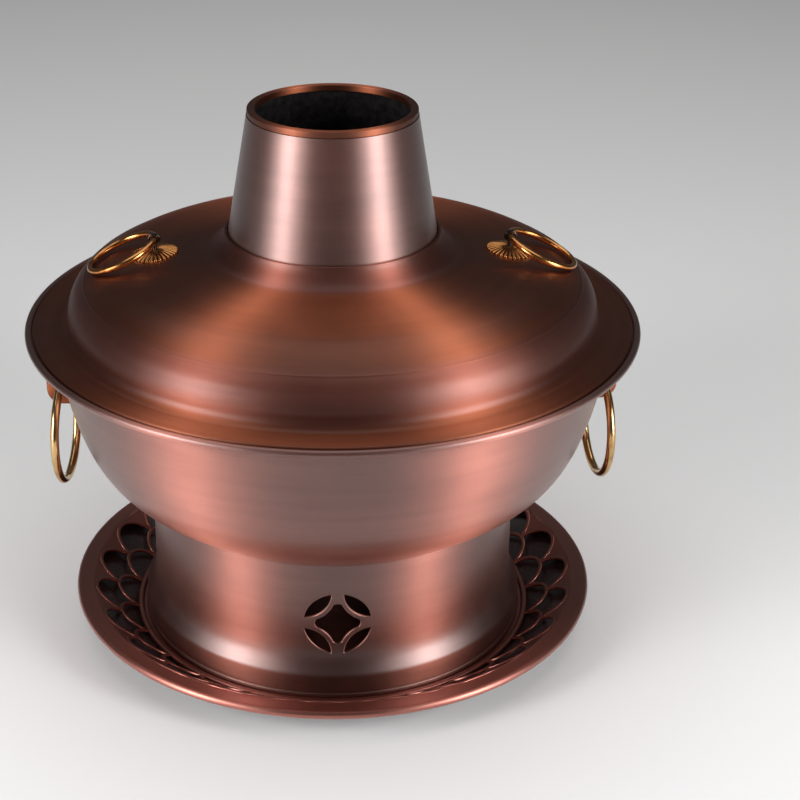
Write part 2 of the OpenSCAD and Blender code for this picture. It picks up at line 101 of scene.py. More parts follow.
class HotPotTray(bpy.types.PropertyGroup):
    """Sizes of the openwork tray and the pan under it"""

    arches: IntProperty(name="Arches", description="Arches in each row", default=25, min=3)
    arch_split: share("Inner row", "Share of the wall that the inner row takes", 0.48)
    arch_margin: length("Arch margin", "Plain strip between the arches and the rim", 1.1)
    rib: length("Rib", "Width of the ribs between the openings", 2.4)
    rib_crown: length("Rib crown", "How far the ribs stand proud of the sheet", 0.35)
    rim_inner: length("Rim inner radius", "Radius of the inner border of the flat rim", 141)
    edge: length("Rolled edge", "Radius of the tray's rolled edge", 2.4)
    bead_middle: length("Bead middle", "Middle radius of the raised ring", 114.4)
    bead: length("Bead", "Radius of the raised ring's section", 1.7)
    bead_rise: length("Bead rise", "Height of the ring's middle above the tray's floor", 0.5)
    sheet: length("Sheet", "Thickness of the openwork", 1.2)
    pan_sheet: length("Pan sheet", "Thickness of the pan", 1)
    pan_gap: length("Pan gap", "Air gap between pan and openwork at the rim", 5)
    pan_edge_gap: length("Pan edge gap", "Gap between the pan and the rolled edge", 0.6)


class HotPotStand(bpy.types.PropertyGroup):
    """Sizes of the stand and its coin-shaped vents"""

    wall: length("Wall radius", "Outside radius of the upright part", 104)
    ridge: length("Ridge radius", "Outside radius of the ridge above the foot band", 110)
    band: length("Band", "Height of the foot band", 13.5)
    flare: length("Flare", "Height over which the stand flares out", 19)
    flare_rise: angle("Flare rise", "Steepness of the flare just above the ridge", 62)
    ridge_pull: length("Ridge pull", "Pull of the ridge on the flare's curve", 4.7)
    flare_pull: length("Flare pull", "Pull of the upright part on the curve", 10.5)
    ridge_round: length("Ridge rounding", "Radius of the rounded ridge", 0.7)
    sheet: length("Sheet", "Thickness of the stand", 1.5)
    foot_bead: length("Foot bead", "Radius of the rolled foot edge", 1.5)
    vent: length("Vent", "Diameter of a vent", 37)
    vent_rib: length("Vent rib", "Width of the ribs inside a vent", 2.6)
    petal_inset: length("Petal inset", "Distance of the petals from a touching ring", 3.5)
    heart: length("Heart", "Half of the middle opening, corner to corner", 12.3)
    heart_tip: length("Heart tips", "How much of that half its round tips take", 1.3)
    vent_height: length("Vent height", "Height of a vent's middle above the foot", 43.5)
    vent_round: length("Vent rounding", "Rounding of the edges of a vent", 0.35)


class HotPotBowl(bpy.types.PropertyGroup):
    """Sizes of the bowl and the fire tube"""

    mouth: length("Mouth radius", "Outside radius of the wall under the flange", 155.5)
    rim_bead: length("Rim bead", "Radius of the rolled rim", 2)
    sheet: length("Sheet", "Thickness of the bowl", 1.6)
    wall_lean: angle("Wall lean", "Lean of the wall from upright", 9)
    wall_pull: length("Wall pull", "Pull of the upright wall on the curve", 80)
    floor_rise: angle("Floor rise", "Rise of the curve where it leaves the floor", 36)
    floor_pull: length("Floor pull", "Pull of the floor on the curve", 31)
    floor_step: length("Floor step", "How far the floor reaches past the stand", 0.8)
    chimney: length("Chimney", "Outside radius of the chimney at its mouth", 45.7)
    taper: share("Taper", "Growth of the tube's radius on the way down", 0.1694)
    tube_sheet: length("Tube sheet", "Thickness of the fire tube", 1.8)
    lip: length("Lip", "Width of the chimney's flat lip", 4.2)
    lip_tall: length("Lip height", "Height of the lip's flat top above the end of the tube", 3.5)
    ledge: length("Ledge", "Width of the ledge that carries the grate", 8)
    ledge_sheet: length("Ledge thickness", "Thickness of that ledge", 2)


class HotPotLid(bpy.types.PropertyGroup):
    """Sizes of the lid and its fittings"""

    sheet: length("Sheet", "Thickness of the lid", 1.4)
    hem: length("Hem", "Radius of the rolled edge", 1)
    shoulder: length("Shoulder radius", "Outside radius of the shoulder", 146.1)
    shoulder_height: length("Shoulder height", "Height of its upright part over the rim", 8.7)
    hollow: length("Hollow", "Radius of the hollow between flange and shoulder", 6)
    shoulder_round: length("Shoulder roll", "Radius of the shoulder's roll", 21)
    crown_break: angle("Crown break", "Steepness where shoulder and crown meet", 33.4)
    crease: length("Crease", "Height of the raised line where they meet", 0.22)
    crease_width: length("Crease width", "Half width of that line", 0.6)
    crown_round: length("Crown roll", "Radius of the crown's curve", 67)
    crown_slope: angle("Crown slope", "Steepness of the crown near the collar", 7.3)
    collar_spread: length("Collar spread", "How far the collar spreads from its edge to its foot", 10.5)
    collar_pull: length("Collar pull", "Roundness of the collar's hollow", 4)
    collar_clear: length("Collar gap", "Gap between the collar and the chimney", 0.6)
    rosette_at: length("Rosette place", "Distance of the rosettes from the middle", 97.5)
    rosette: length("Rosette", "Diameter of a rosette", 26)
    rosette_height: length("Rosette height", "Height of a rosette's middle", 3.4)
    pleats: IntProperty(name="Pleats", description="Pleats of a rosette", default=30, min=3)
    tooth: length("Rosette teeth", "Depth of the teeth round a rosette", 0.9)
    eye_rise: length("Eye rise", "Height of the eye's loop above the rosette's top", 1.85)
    eye_wire: length("Eye wire", "Thickness of the eye's wire", 1.6)
    eye_gap: length("Eye gap", "Clearance of the ring in its eye", 0.35)
    eye_ream: length("Eye reaming", "Depth to which the eye is reamed into its wire", 0.15)
    ring_wire: length("Ring wire", "Thickness of a lid ring's wire", 3.5)
    ring: length("Ring radius", "Middle radius of a lid ring", 19.5)


class HotPotHandles(bpy.types.PropertyGroup):
    """Sizes of the bowl's ring handles and their lugs"""

    hang_at: length("Hanging place", "Distance of the hanging point from the middle", 152.495)
    hang_drop: length("Hanging drop", "Depth of the hanging point below the rim", 38)
    ring: length("Ring radius", "Middle radius of a bowl ring", 29.5)
    wire: length("Ring wire", "Thickness of a bowl ring's wire", 4.8)
    ring_yaw: angle("Ring turn", "Turn of a hanging ring about the upright", 6)
    lug_round: length("Lug radius", "Radius of the lug's round back", 9)
    lug_height: length("Lug height", "Height of the lug", 26)
    lug_width: length("Lug width", "Width of the lug along the ring", 9)
    lug_gap: length("Lug gap", "Clearance of the ring in its lug", 0.9)
    lug_soft: length("Lug edges", "Rounding of the lug's edges", 2.2)


class HotPotFinish(bpy.types.PropertyGroup):
    """Colours and textures of the finishes"""

    copper: colour("Copper", "Rosy copper of pot and stand", (0.35, 0.128, 0.094))
    copper_deep: colour("Aged copper", "The same where it has aged", (0.23, 0.074, 0.052))
    # Painted reflection: the warm copper is the pot's copper tinted orange for the surfaces that face up and
    # mirror copper and the dark room, which are the lid's crown and flange and the chimney's lip; the lugs
    # reuse it. The rosy copper above is the same metal where it shows the lamps.
    warm_copper: colour("Warm copper", "Orange copper of the lid's crown and flange", (0.35, 0.104, 0.048))
    warm_deep: colour("Aged warm copper", "The same where it has aged", (0.23, 0.066, 0.034))
    tray_copper: colour("Tray copper", "Red copper of the tray", (0.46, 0.15, 0.11))
    tray_deep: colour("Aged tray copper", "The same where it has aged", (0.30, 0.09, 0.062))
    brass: colour("Brass", "Warm brass of the lid's fittings", (0.66, 0.30, 0.095))
    brass_dark: colour("Brass patina", "Patina on that brass", (0.30, 0.10, 0.03))
    pale_brass: colour("Pale brass", "Polished brass of the bowl's rings", (0.66, 0.44, 0.20))
    pale_dark: colour("Pale brass patina", "Patina on that brass", (0.33, 0.17, 0.06))
    gunmetal: colour("Gunmetal", "Darkened steel of the eyes", (0.07, 0.055, 0.05))
    enamel: colour("Enamel", "Black enamel of the pan", (0.045, 0.03, 0.031))
    iron: colour("Iron", "Cast iron of the grate", (0.045, 0.042, 0.04))
    soot: colour("Soot", "Soot inside the fire tube", (0.006, 0.005, 0.005))
    brushing: share("Brushing", "Depth of the fine turned lines", 0.12)
    coat_roughness: share("Gloss roughness", "Roughness of the polish over the copper", 0.32)
    coat_ior: FloatProperty(name="Gloss", description="Strength of the polish, as an IOR", default=1.72)


class HotPotStudio(bpy.types.PropertyGroup):
    """Camera, lamps and floor"""

    camera_distance: length("Camera distance", "Level distance of the camera", 934)
    camera_height: length("Camera height", "Height of the camera above the table", 579.2)
    camera_turn: angle("Camera turn", "How far the camera stands to the left", 1.5)
    camera_pitch: angle("Camera pitch", "How far the camera looks down", 25.69)
    lens: FloatProperty(name="Lens", description="Focal length in mm", default=81.74)
    shift: FloatProperty(name="Shift", description="Sideways framing", default=0.0842)
    floor: colour("Floor", "Pale floor", (0.90, 0.90, 0.90))
    room: colour("Room", "Light of the room", (0.08, 0.079, 0.078))
    softbox: FloatProperty(name="Softboxes", description="Power of each side lamp", default=8)
    core: FloatProperty(name="Cores", description="Power of the bright middle of each", default=12)
    softbox_turn: angle("Softbox turn", "How far each lamp stands to the side of the camera", 56)
    softbox_wide: length("Softbox width", "Width of each side lamp", 1150)
    core_wide: length("Core width", "Width of its bright middle", 420)
    softbox_tall: length("Softbox height", "Height of each side lamp", 900)
    softbox_away: length("Softbox distance", "Level distance of each side lamp", 1350)
    softbox_middle: length("Softbox middle", "Height of the middle of each side lamp", 500)
    overhead: FloatProperty(name="Overhead", description="Power of the lamp above", default=20)
    overhead_wide: length("Overhead width", "Width of the square lamp above", 2400)
    overhead_high: length("Overhead height", "Height of the lamp above", 2200)
    overhead_back: length("Overhead place", "How far the lamp above stands behind the pot", 600)


GROUPS = {
    "hotpot_tray": HotPotTray,
    "hotpot_stand": HotPotStand,
    "hotpot_bowl": HotPotBowl,
    "hotpot_lid": HotPotLid,
    "hotpot_handles": HotPotHandles,
    "hotpot_finish": HotPotFinish,
    "hotpot_studio": HotPotStudio,
}

# ---------------------------------------------------------------- curves in the (radius, height) plane


def line(a, b, steps=1):
    """Evenly spaced points on the straight line from a to b."""
    t = np.linspace(0, 1, steps + 1)[:, None]
    return (1 - t) * np.asarray(a, float) + t * np.asarray(b, float)


def arc(centre, radius, start, end, steps=12):
    """Points on a circle's arc: centre plus radius times (cos, sin) of an evenly turning angle."""
    t = np.linspace(start, end, steps + 1)
    return np.asarray(centre, float) + radius * np.stack([np.cos(t), np.sin(t)], 1)


def bezier(a, b, c, d, steps=32):
    """Cubic curve: the four corners weighted by the Bernstein polynomials of t."""
    t = np.linspace(0, 1, steps + 1)[:, None]
    a, b, c, d = (np.asarray(p, float) for p in (a, b, c, d))
    return (1 - t) ** 3 * a + 3 * (1 - t) ** 2 * t * b + 3 * (1 - t) * t**2 * c + t**3 * d


def along(points):
    """Running length along a line of points."""
    return np.concatenate([[0], np.cumsum(np.linalg.norm(np.diff(points, axis=0), axis=1))])


def beside(points, distance):
    """The line moved sideways to its left: each point plus distance times its unit normal."""
    d = np.gradient(points, along(points), axis=0)
    return points + distance * np.stack([-d[:, 1], d[:, 0]], 1) / np.linalg.norm(d, axis=1)[:, None]


def soften(corners, radius, steps=5):
    """A closed outline with its corners rounded: each becomes the arc that touches both sides.

    Corners on the axis stay sharp."""
    corners = np.asarray(corners, float)
    done = []
    for i, p in enumerate(corners):
        if p[0] == 0:
            done.append(p[None])
            continue
        before, after = corners[i - 1] - p, corners[(i + 1) % len(corners)] - p
        lb, la = np.linalg.norm(before), np.linalg.norm(after)
        before, after = before / lb, after / la
        half = math.acos(float(np.clip(before @ after, -1, 1))) / 2
        if half > math.radians(80):
            done.append(p[None])
            continue
        r = min(radius, 0.45 * min(lb, la) * math.tan(half))
        middle = p + (before + after) / np.linalg.norm(before + after) * r / math.sin(half)
        first, last = p + before * r / math.tan(half) - middle, p + after * r / math.tan(half) - middle
        a0, a1 = math.atan2(first[1], first[0]), math.atan2(last[1], last[0])
        a1 = a0 + (a1 - a0 + math.pi) % (2 * math.pi) - math.pi
        done.append(arc(middle, r, a0, a1, steps))
    return np.concatenate(done)


# ---------------------------------------------------------------- surfaces


def unit(v):
    """Vectors scaled to length one."""
    return v / np.maximum(np.linalg.norm(v, axis=-1, keepdims=True), 1e-12)


def differences(p, axis, wrap):
    """Next point minus last point along one direction of a grid of points."""
    if wrap:
        return np.roll(p, -1, axis) - np.roll(p, 1, axis)
    padded = np.concatenate([p.take([0], axis), p, p.take([-1], axis)], axis)
    n = p.shape[axis]
    return padded.take(np.arange(2, n + 2), axis) - padded.take(np.arange(n), axis)


def surface(points, wrap_u=True, wrap_v=True, close_v=False, flip=False):
    """A grid of points (u, v) as (vertices, normals, quads, triangles).

    The normal is the cross product of the two directions' differences. A direction that wraps joins its
    last row to its first. close_v draws a fan over each end of v, to the row's middle; an open u gets
    the same over its two end sections."""
    nu, nv = points.shape[:2]
    normals = np.cross(differences(points, 0, wrap_u), differences(points, 1, wrap_v))
    flat = np.linalg.norm(normals, axis=2) < 1e-12
    if flat.any():
        normals[flat] = (unit(normals).mean(0, keepdims=True) + np.zeros_like(normals))[flat]
    index = np.arange(nu * nv).reshape(nu, nv)
    i = np.arange(nu if wrap_u else nu - 1)
    j = np.arange(nv if wrap_v else nv - 1)
    i, j = (x.ravel() for x in np.meshgrid(i, j, indexing="ij"))
    i2, j2 = (i + 1) % nu, (j + 1) % nv
    quads = np.stack([index[i, j], index[i2, j], index[i2, j2], index[i, j2]], 1)
    vertices, normals = points.reshape(-1, 3), unit(normals).reshape(-1, 3)
    triangles = []
    ends = []
    if close_v:
        ends += [(index[:, 0], False), (index[:, -1], True)]
    if not wrap_u:
        ends += [(index[0], True), (index[-1], False)]
    for ring, forward in ends:
        hub = len(vertices)
        vertices = np.concatenate([vertices, vertices[ring].mean(0, keepdims=True)])
        normals = np.concatenate([normals, unit(normals[ring].mean(0, keepdims=True))])
        a, b = ring, np.roll(ring, -1)
        if not forward:
            a, b = b, a
        triangles.append(np.stack([a, b, np.full(len(ring), hub)], 1))
    triangles = np.concatenate(triangles) if triangles else np.zeros((0, 3), int)
    if flip:
        quads, triangles, normals = quads[:, ::-1], triangles[:, ::-1], -normals
    return vertices, normals, quads, triangles


def spun(r, z, turns=TURNS):
    """A line turned about the upright axis: radius times (cos, sin) of the turn, and the height."""
    t = np.linspace(0, 2 * np.pi, turns, endpoint=False)[:, None]
    return np.stack([r * np.cos(t), r * np.sin(t), z + 0 * t], 2)


def turned(profile, poles=False, turns=TURNS):
    """A solid of revolution: the profile spun about the axis, its outline counter-clockwise.

    The profile is a closed outline, or with poles an open line whose two ends lie on the axis."""
    r, z = profile.T
    if np.sum(r * np.roll(z, -1) - np.roll(r, -1) * z) < 0:
        r, z = r[::-1], z[::-1]
    if poles:
        r, z = r[1:-1], z[1:-1]
    return surface(spun(r, z, turns), True, not poles, close_v=poles)


def swept(path, across, up, section, wrap=True):
    """A section carried along a path: path plus section x times across plus section y times up."""
    points = path[:, None] + section[None, :, :1] * across[:, None] + section[None, :, 1:] * up[:, None]
    outward = np.cross(differences(points, 0, wrap), differences(points, 1, True))
    flip = np.sum(outward * (points - path[:, None])) < 0
    if flip:
        points = points[:, ::-1]
    return surface(points, wrap, True)


def circle(radius, steps):
    """A closed circle round the middle, without its last point."""
    return arc((0, 0), radius, 0, 2 * np.pi, steps)[:-1]


def squared(section, power):
    """A section of the unit circle drawn towards a square: each coordinate to a power below one."""
    return np.sign(section) * np.abs(section) ** power


def flat_turn(radians):
    """Turns points in a plane, kept as rows, counter-clockwise."""
    c, s = math.cos(radians), math.sin(radians)
    return np.array([[c, s], [-s, c]])


def placed(part, matrix, shift=(0, 0, 0)):
    """A part turned by a 3 by 3 matrix and moved; a mirroring matrix also turns its faces."""
    vertices, normals, quads, triangles = part
    matrix = np.asarray(matrix, float)
    if np.linalg.det(matrix) < 0:
        quads, triangles = quads[:, ::-1], triangles[:, ::-1]
    return vertices @ matrix.T + shift, normals @ matrix.T, quads, triangles


def turn_about(axis, radians):
    """Rotation matrix about X, Y or Z, by the right-hand rule."""
    c, s = math.cos(radians), math.sin(radians)
    return {
        "X": np.array([[1, 0, 0], [0, c, -s], [0, s, c]]),
        "Y": np.array([[c, 0, s], [0, 1, 0], [-s, 0, c]]),
        "Z": np.array([[c, -s, 0], [s, c, 0], [0, 0, 1]]),
    }[axis]


def side_matrix(side):
    """Mirrors the right-hand side to the left where side is -1."""
    return np.diag([side, 1.0, 1.0])


def build(name, parts, finishes, body, replaced=()):
    """Makes one object of several parts. finishes is one material, or one for each part."""
    finishes = finishes if isinstance(finishes, list) else [finishes] * len(parts)
    slots = list(dict.fromkeys(finishes))
    offset, vertices, normals, faces, indices = 0, [], [], [], []
    for part, finish in zip(parts, finishes):
        v, n, quads, triangles = part
        vertices.append(v)
        normals.append(n)
        faces += (quads + offset).tolist() + (triangles + offset).tolist()
        indices += [slots.index(finish)] * (len(quads) + len(triangles))
        offset += len(v)
    mesh = bpy.data.meshes.new(name)
    mesh.from_pydata(np.concatenate(vertices).tolist(), [], faces)
    mesh.polygons.foreach_set("use_smooth", np.ones(len(faces), bool))
    mesh.polygons.foreach_set("material_index", indices)
    mesh.normals_split_custom_set_from_vertices(np.concatenate(normals).tolist())
    for finish in slots:
        mesh.materials.append(finish)
    if mesh.validate():
        raise RuntimeError(f"{name} has broken faces")
    piece = bpy.data.objects.new(name, mesh)
    bpy.context.scene.collection.objects.link(piece)
    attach(piece, body)
    if replaced:
        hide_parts(*replaced)
    return piece


# ---------------------------------------------------------------- finishes


class Nodes:
    """Short hand for building one material's node tree."""

    def __init__(self, name):
        self.material = bpy.data.materials.new(name)
        self.material.use_nodes = True
        self.tree = self.material.node_tree
        self.shader = self.tree.nodes["Principled BSDF"]

    def add(self, kind, **settings):
        node = self.tree.nodes.new(kind)
        for key, value in settings.items():
            setattr(node, key, value)
        return node

    def wire(self, source, target):
        self.tree.links.new(source, target)

    def feed(self, values, sockets):
        """Gives each socket its value: another node's output or a constant."""
        for value, socket in zip(values, sockets):
            if isinstance(value, bpy.types.NodeSocket):
                self.wire(value, socket)
            else:
                socket.default_value = value

    def math(self, operation, a, b=0.0):
        node = self.add("ShaderNodeMath", operation=operation)
        self.feed((a, b), node.inputs)
        return node.outputs[0]

    def times(self, a, b):
        return self.math("MULTIPLY", a, b)

    def place(self):
        """Object coordinates, split."""
        coordinates = self.add("ShaderNodeTexCoord")
        split = self.add("ShaderNodeSeparateXYZ")
        self.wire(coordinates.outputs["Object"], split.inputs[0])
        return coordinates.outputs["Object"], split.outputs[0], split.outputs[1], split.outputs[2]

    def join(self, x, y, z):
        node = self.add("ShaderNodeCombineXYZ")
        self.feed((x, y, z), node.inputs)
        return node.outputs[0]

    def noise(self, vector, scale, detail=3.0, roughness=0.55, w=None):
        node = self.add("ShaderNodeTexNoise", noise_dimensions="3D" if w is None else "4D")
        if w is not None:
            self.wire(w, node.inputs["W"])
        keys = "Vector", "Scale", "Detail", "Roughness"
        self.feed((vector, scale, detail, roughness), [node.inputs[key] for key in keys])
        return node.outputs["Fac"]

    def ranged(self, value, low, high, out_low, out_high):
        node = self.add("ShaderNodeMapRange")
        keys = "Value", "From Min", "From Max", "To Min", "To Max"
        self.feed((value, low, high, out_low, out_high), [node.inputs[key] for key in keys])
        return node.outputs["Result"]

    def blend(self, factor, a, b):
        """Mixes two colours, each a socket or three numbers."""
        node = self.add("ShaderNodeMix", data_type="RGBA")
        a, b = (value if isinstance(value, bpy.types.NodeSocket) else (*value, 1) for value in (a, b))
        self.feed((factor, a, b), (node.inputs[0], node.inputs[6], node.inputs[7]))
        return node.outputs[2]

    def bump(self, height, strength, distance):
        node = self.add("ShaderNodeBump")
        keys = "Height", "Strength", "Distance"
        self.feed((height, strength, distance), [node.inputs[key] for key in keys])
        return node.outputs["Normal"]

    def set(self, **values):
        for key, value in values.items():
            self.shader.inputs[key.replace("_", " ")].default_value = value


def turned_metal(name, tones, warm=None, coat=1.0, roughness=(0.53, 0.61), anisotropy=0.95):
    """Spun sheet metal: fine lines round the axis, cloudy ageing, and highlights drawn out across the lines.

    The lines are four-dimensional noise of (radius, height) at a high frequency and of the turn's
    (cos, sin) at a low one, so they close without a seam. The second pair of tones colours the bands of
    radius listed with it, each band a pair of radii between which it fades in or out; on the lid this is a
    painted reflection, the copper tinted warmer where it faces up."""
    look = bpy.context.scene.hotpot_finish
    n = Nodes(name)
    place, x, y, z = n.place()
    radius = n.math("SQRT", n.math("ADD", n.times(x, x), n.times(y, y)))
    across, ahead = n.math("DIVIDE", x, radius), n.math("DIVIDE", y, radius)

    def rings(scale, spread, detail):
        where = n.join(n.times(radius, scale), n.times(z, scale), n.times(across, spread))
        return n.noise(where, 1.0, detail, 0.6, n.times(ahead, spread))

    fine, broad = rings(2200.0, 5.0, 2.0), rings(160.0, 1.2, 3.0)
    clouds = n.noise(place, 9.0, 4.0, 0.55)
    age = n.math("ADD", n.times(clouds, 0.75), n.times(broad, 0.35))
    age = n.ranged(age, 0.42, 0.72, 0.0, 1.0)
    tint = n.blend(age, *tones)
    # Painted reflection: the listed bands of radius take the warm tones in place of the rosy ones.
    if warm:
        amount = 0.0
        for start, end in warm[2]:
            fade = n.ranged(radius, min(start, end), max(start, end), 0.0, 1.0 if start < end else -1.0)
            amount = n.math("ADD", fade, amount)
        tint = n.blend(amount, tint, n.blend(age, *warm[:2]))
    n.wire(tint, n.shader.inputs["Base Color"])
    worn = n.math("ADD", fine, n.times(clouds, 0.6))
    n.wire(n.ranged(worn, 0.5, 1.1, *roughness), n.shader.inputs["Roughness"])
    n.wire(n.bump(fine, look.brushing, 0.0001), n.shader.inputs["Normal"])
    n.wire(n.join(n.times(y, -1.0), x, 0.0), n.shader.inputs["Tangent"])
    n.set(Metallic=1.0, Anisotropic=anisotropy, Anisotropic_Rotation=0.25)
    n.set(Coat_Weight=coat, Coat_Roughness=look.coat_roughness, Coat_IOR=look.coat_ior)
    return n.material


def cast_metal(name, bright, dark, roughness, patina=(0.45, 0.68), metallic=1.0, scale=70.0, pleats=None):
    """Worked metal with a dark patina that keeps to patches, and a fine grain.

    Pleats are (distance of a rosette's middle, count): the folds between them, where the cosine of half
    the count times the turn about that middle is near nought, are dark, a painted shade in the folds."""
    n = Nodes(name)
    place, x, y, _ = n.place()
    patches = n.noise(place, scale, 4.0, 0.55)
    fine = n.noise(place, 900.0, 3.0, 0.6)
    tint = n.blend(n.ranged(patches, *patina, 0.0, 1.0), bright, dark)
    # Painted shade: the folds between the pleats are darkened to a fifth of the patina colour.
    if pleats:
        turn = n.math("ARCTAN2", y, n.math("SUBTRACT", n.math("ABSOLUTE", x), pleats[0]))
        fold_shade = n.math("ABSOLUTE", n.math("COSINE", n.times(turn, pleats[1] / 2)))
        tint = n.blend(n.ranged(fold_shade, 0.15, 0.6, 0.0, 1.0), tuple(0.2 * c for c in dark), tint)
    n.wire(tint, n.shader.inputs["Base Color"])
    n.wire(n.ranged(patches, *patina, *roughness), n.shader.inputs["Roughness"])
    n.wire(n.bump(fine, 0.06, 0.0002), n.shader.inputs["Normal"])
    n.set(Metallic=metallic)
    return n.material


def sooty(name, colour_value):
    """Soot and burnt scale: nearly black, dry and uneven."""
    n = Nodes(name)
    place = n.place()[0]
    flakes = n.noise(place, 220.0, 6.0, 0.65)
    paler = tuple(4 * c for c in colour_value)
    n.wire(n.blend(n.ranged(flakes, 0.4, 0.75, 0.0, 1.0), colour_value, paler), n.shader.inputs["Base Color"])
    n.wire(n.ranged(flakes, 0.3, 0.7, 0.7, 0.95), n.shader.inputs["Roughness"])
    n.wire(n.bump(flakes, 0.4, 0.0005), n.shader.inputs["Normal"])
    n.set(Specular_IOR_Level=0.1)
    return n.material


FINISHES = {}
# Radii on the lid, in metres, over which its warm colour, a painted reflection on the crown and flange that
# face up, fades in, or out where they fall: crown, flange.
WARM_REFLECTION_BANDS = (0.068, 0.073), (0.139, 0.132), (0.1455, 0.1485)


def make_finish(name):
    """Makes the named material from the colours in the settings."""
    look, lid = bpy.context.scene.hotpot_finish, bpy.context.scene.hotpot_lid

    def colours(*keys):
        return tuple(tuple(getattr(look, key)) for key in keys)

    rosy, warm = colours("copper", "copper_deep"), colours("warm_copper", "warm_deep")
    tray, brass = colours("tray_copper", "tray_deep"), colours("brass", "brass_dark")
    pale = colours("pale_brass", "pale_dark")
    gunmetal, enamel, iron, soot = colours("gunmetal", "enamel", "iron", "soot")
    recipes = {
        "brushed_copper": (turned_metal, (rosy,), {}),
        "warm_copper": (turned_metal, (warm,), {"coat": 0.25}),
        "lid_copper": (turned_metal, (rosy, (*warm, WARM_REFLECTION_BANDS), 0.25), {}),
        "tray_copper": (turned_metal, (tray, None, 0.6, (0.32, 0.46), 0.7), {}),
        "warm_brass": (cast_metal, (*brass, (0.16, 0.28)), {}),
        "pleated_brass": (cast_metal, (*brass, (0.22, 0.34)), {"pleats": (lid.rosette_at, lid.pleats)}),
        "pale_brass": (cast_metal, (*pale, (0.14, 0.24)), {}),
        "cast_copper": (cast_metal, (*warm, (0.26, 0.4)), {}),
        "gunmetal": (cast_metal, (gunmetal, (0.02, 0.016, 0.015), (0.2, 0.4)), {}),
        "black_enamel": (cast_metal, (enamel, (0.03, 0.02, 0.021), (0.24, 0.36)), {"metallic": 0.0}),
        "cast_iron": (cast_metal, (iron, (0.015, 0.014, 0.013), (0.6, 0.85)), {"metallic": 0.6}),
        "soot": (sooty, (soot,), {}),
    }
    maker, values, options = recipes[name]
    return maker(name, *values, **options)


def finish(name):
    """The named material, made when it is first asked for."""
    if name not in FINISHES:
        FINISHES[name] = make_finish(name)
    return FINISHES[name]


# ---------------------------------------------------------------- pieces


def dress(node, name):
    """Gives a CAD node that keeps its own shape its finish."""
    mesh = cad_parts[node].data
    mesh.materials.clear()
    mesh.materials.append(finish(name))


class PieceOperator(bpy.types.Operator):
    """Base of the operators: one label, one run"""

    bl_options = {"REGISTER", "UNDO"}

    def execute(self, context):
        self.make(context.scene)
        return {"FINISHED"}


class HOTPOT_OT_tray_pan(PieceOperator):
    """Turns the black dish that lies under the openwork"""

    bl_idname = "hotpot.tray_pan"
    bl_label = "Tray pan"

    def make(self, scene):
        s = scene.hotpot_tray
        sheet_drop = s.sheet / math.cos(tray_slope(s))
        base = foot("tray_pan")
        flange_z = top("tray_openwork") - sheet_drop
        flange_r, step_r = reach("tray_pan"), s.rim_inner + s.pan_edge_gap
        foot_r, step_z = s.bead_middle + s.bead, flange_z - s.pan_gap
        t = s.pan_sheet
        outline = soften(
            [(0, base), (foot_r, base), (step_r + t, step_z - t), (step_r + t, flange_z - t),
             (flange_r, flange_z - t), (flange_r, flange_z), (step_r, flange_z), (step_r, step_z),
             (foot_r - t, base + t), (0, base + t)],
            0.9 * MM,
        )
        build("tray_pan_dish", [turned(outline, poles=True)], finish("black_enamel"), "tray",
              ["tray_pan"])


def tray_slope(s):
    """Steepness of the openwork wall."""
    tray_floor = s.pan_sheet + s.sheet
    rise = top("tray_openwork") - tray_floor - s.bead_rise
    return math.atan(rise / (s.rim_inner - s.bead_middle))


def tray_height(s, radius):
    """Height of the openwork's upper face: a cone from the bead up to the rim."""
    bead_z = s.pan_sheet + s.sheet + s.bead_rise
    return bead_z + (radius - s.bead_middle) * math.tan(tray_slope(s))


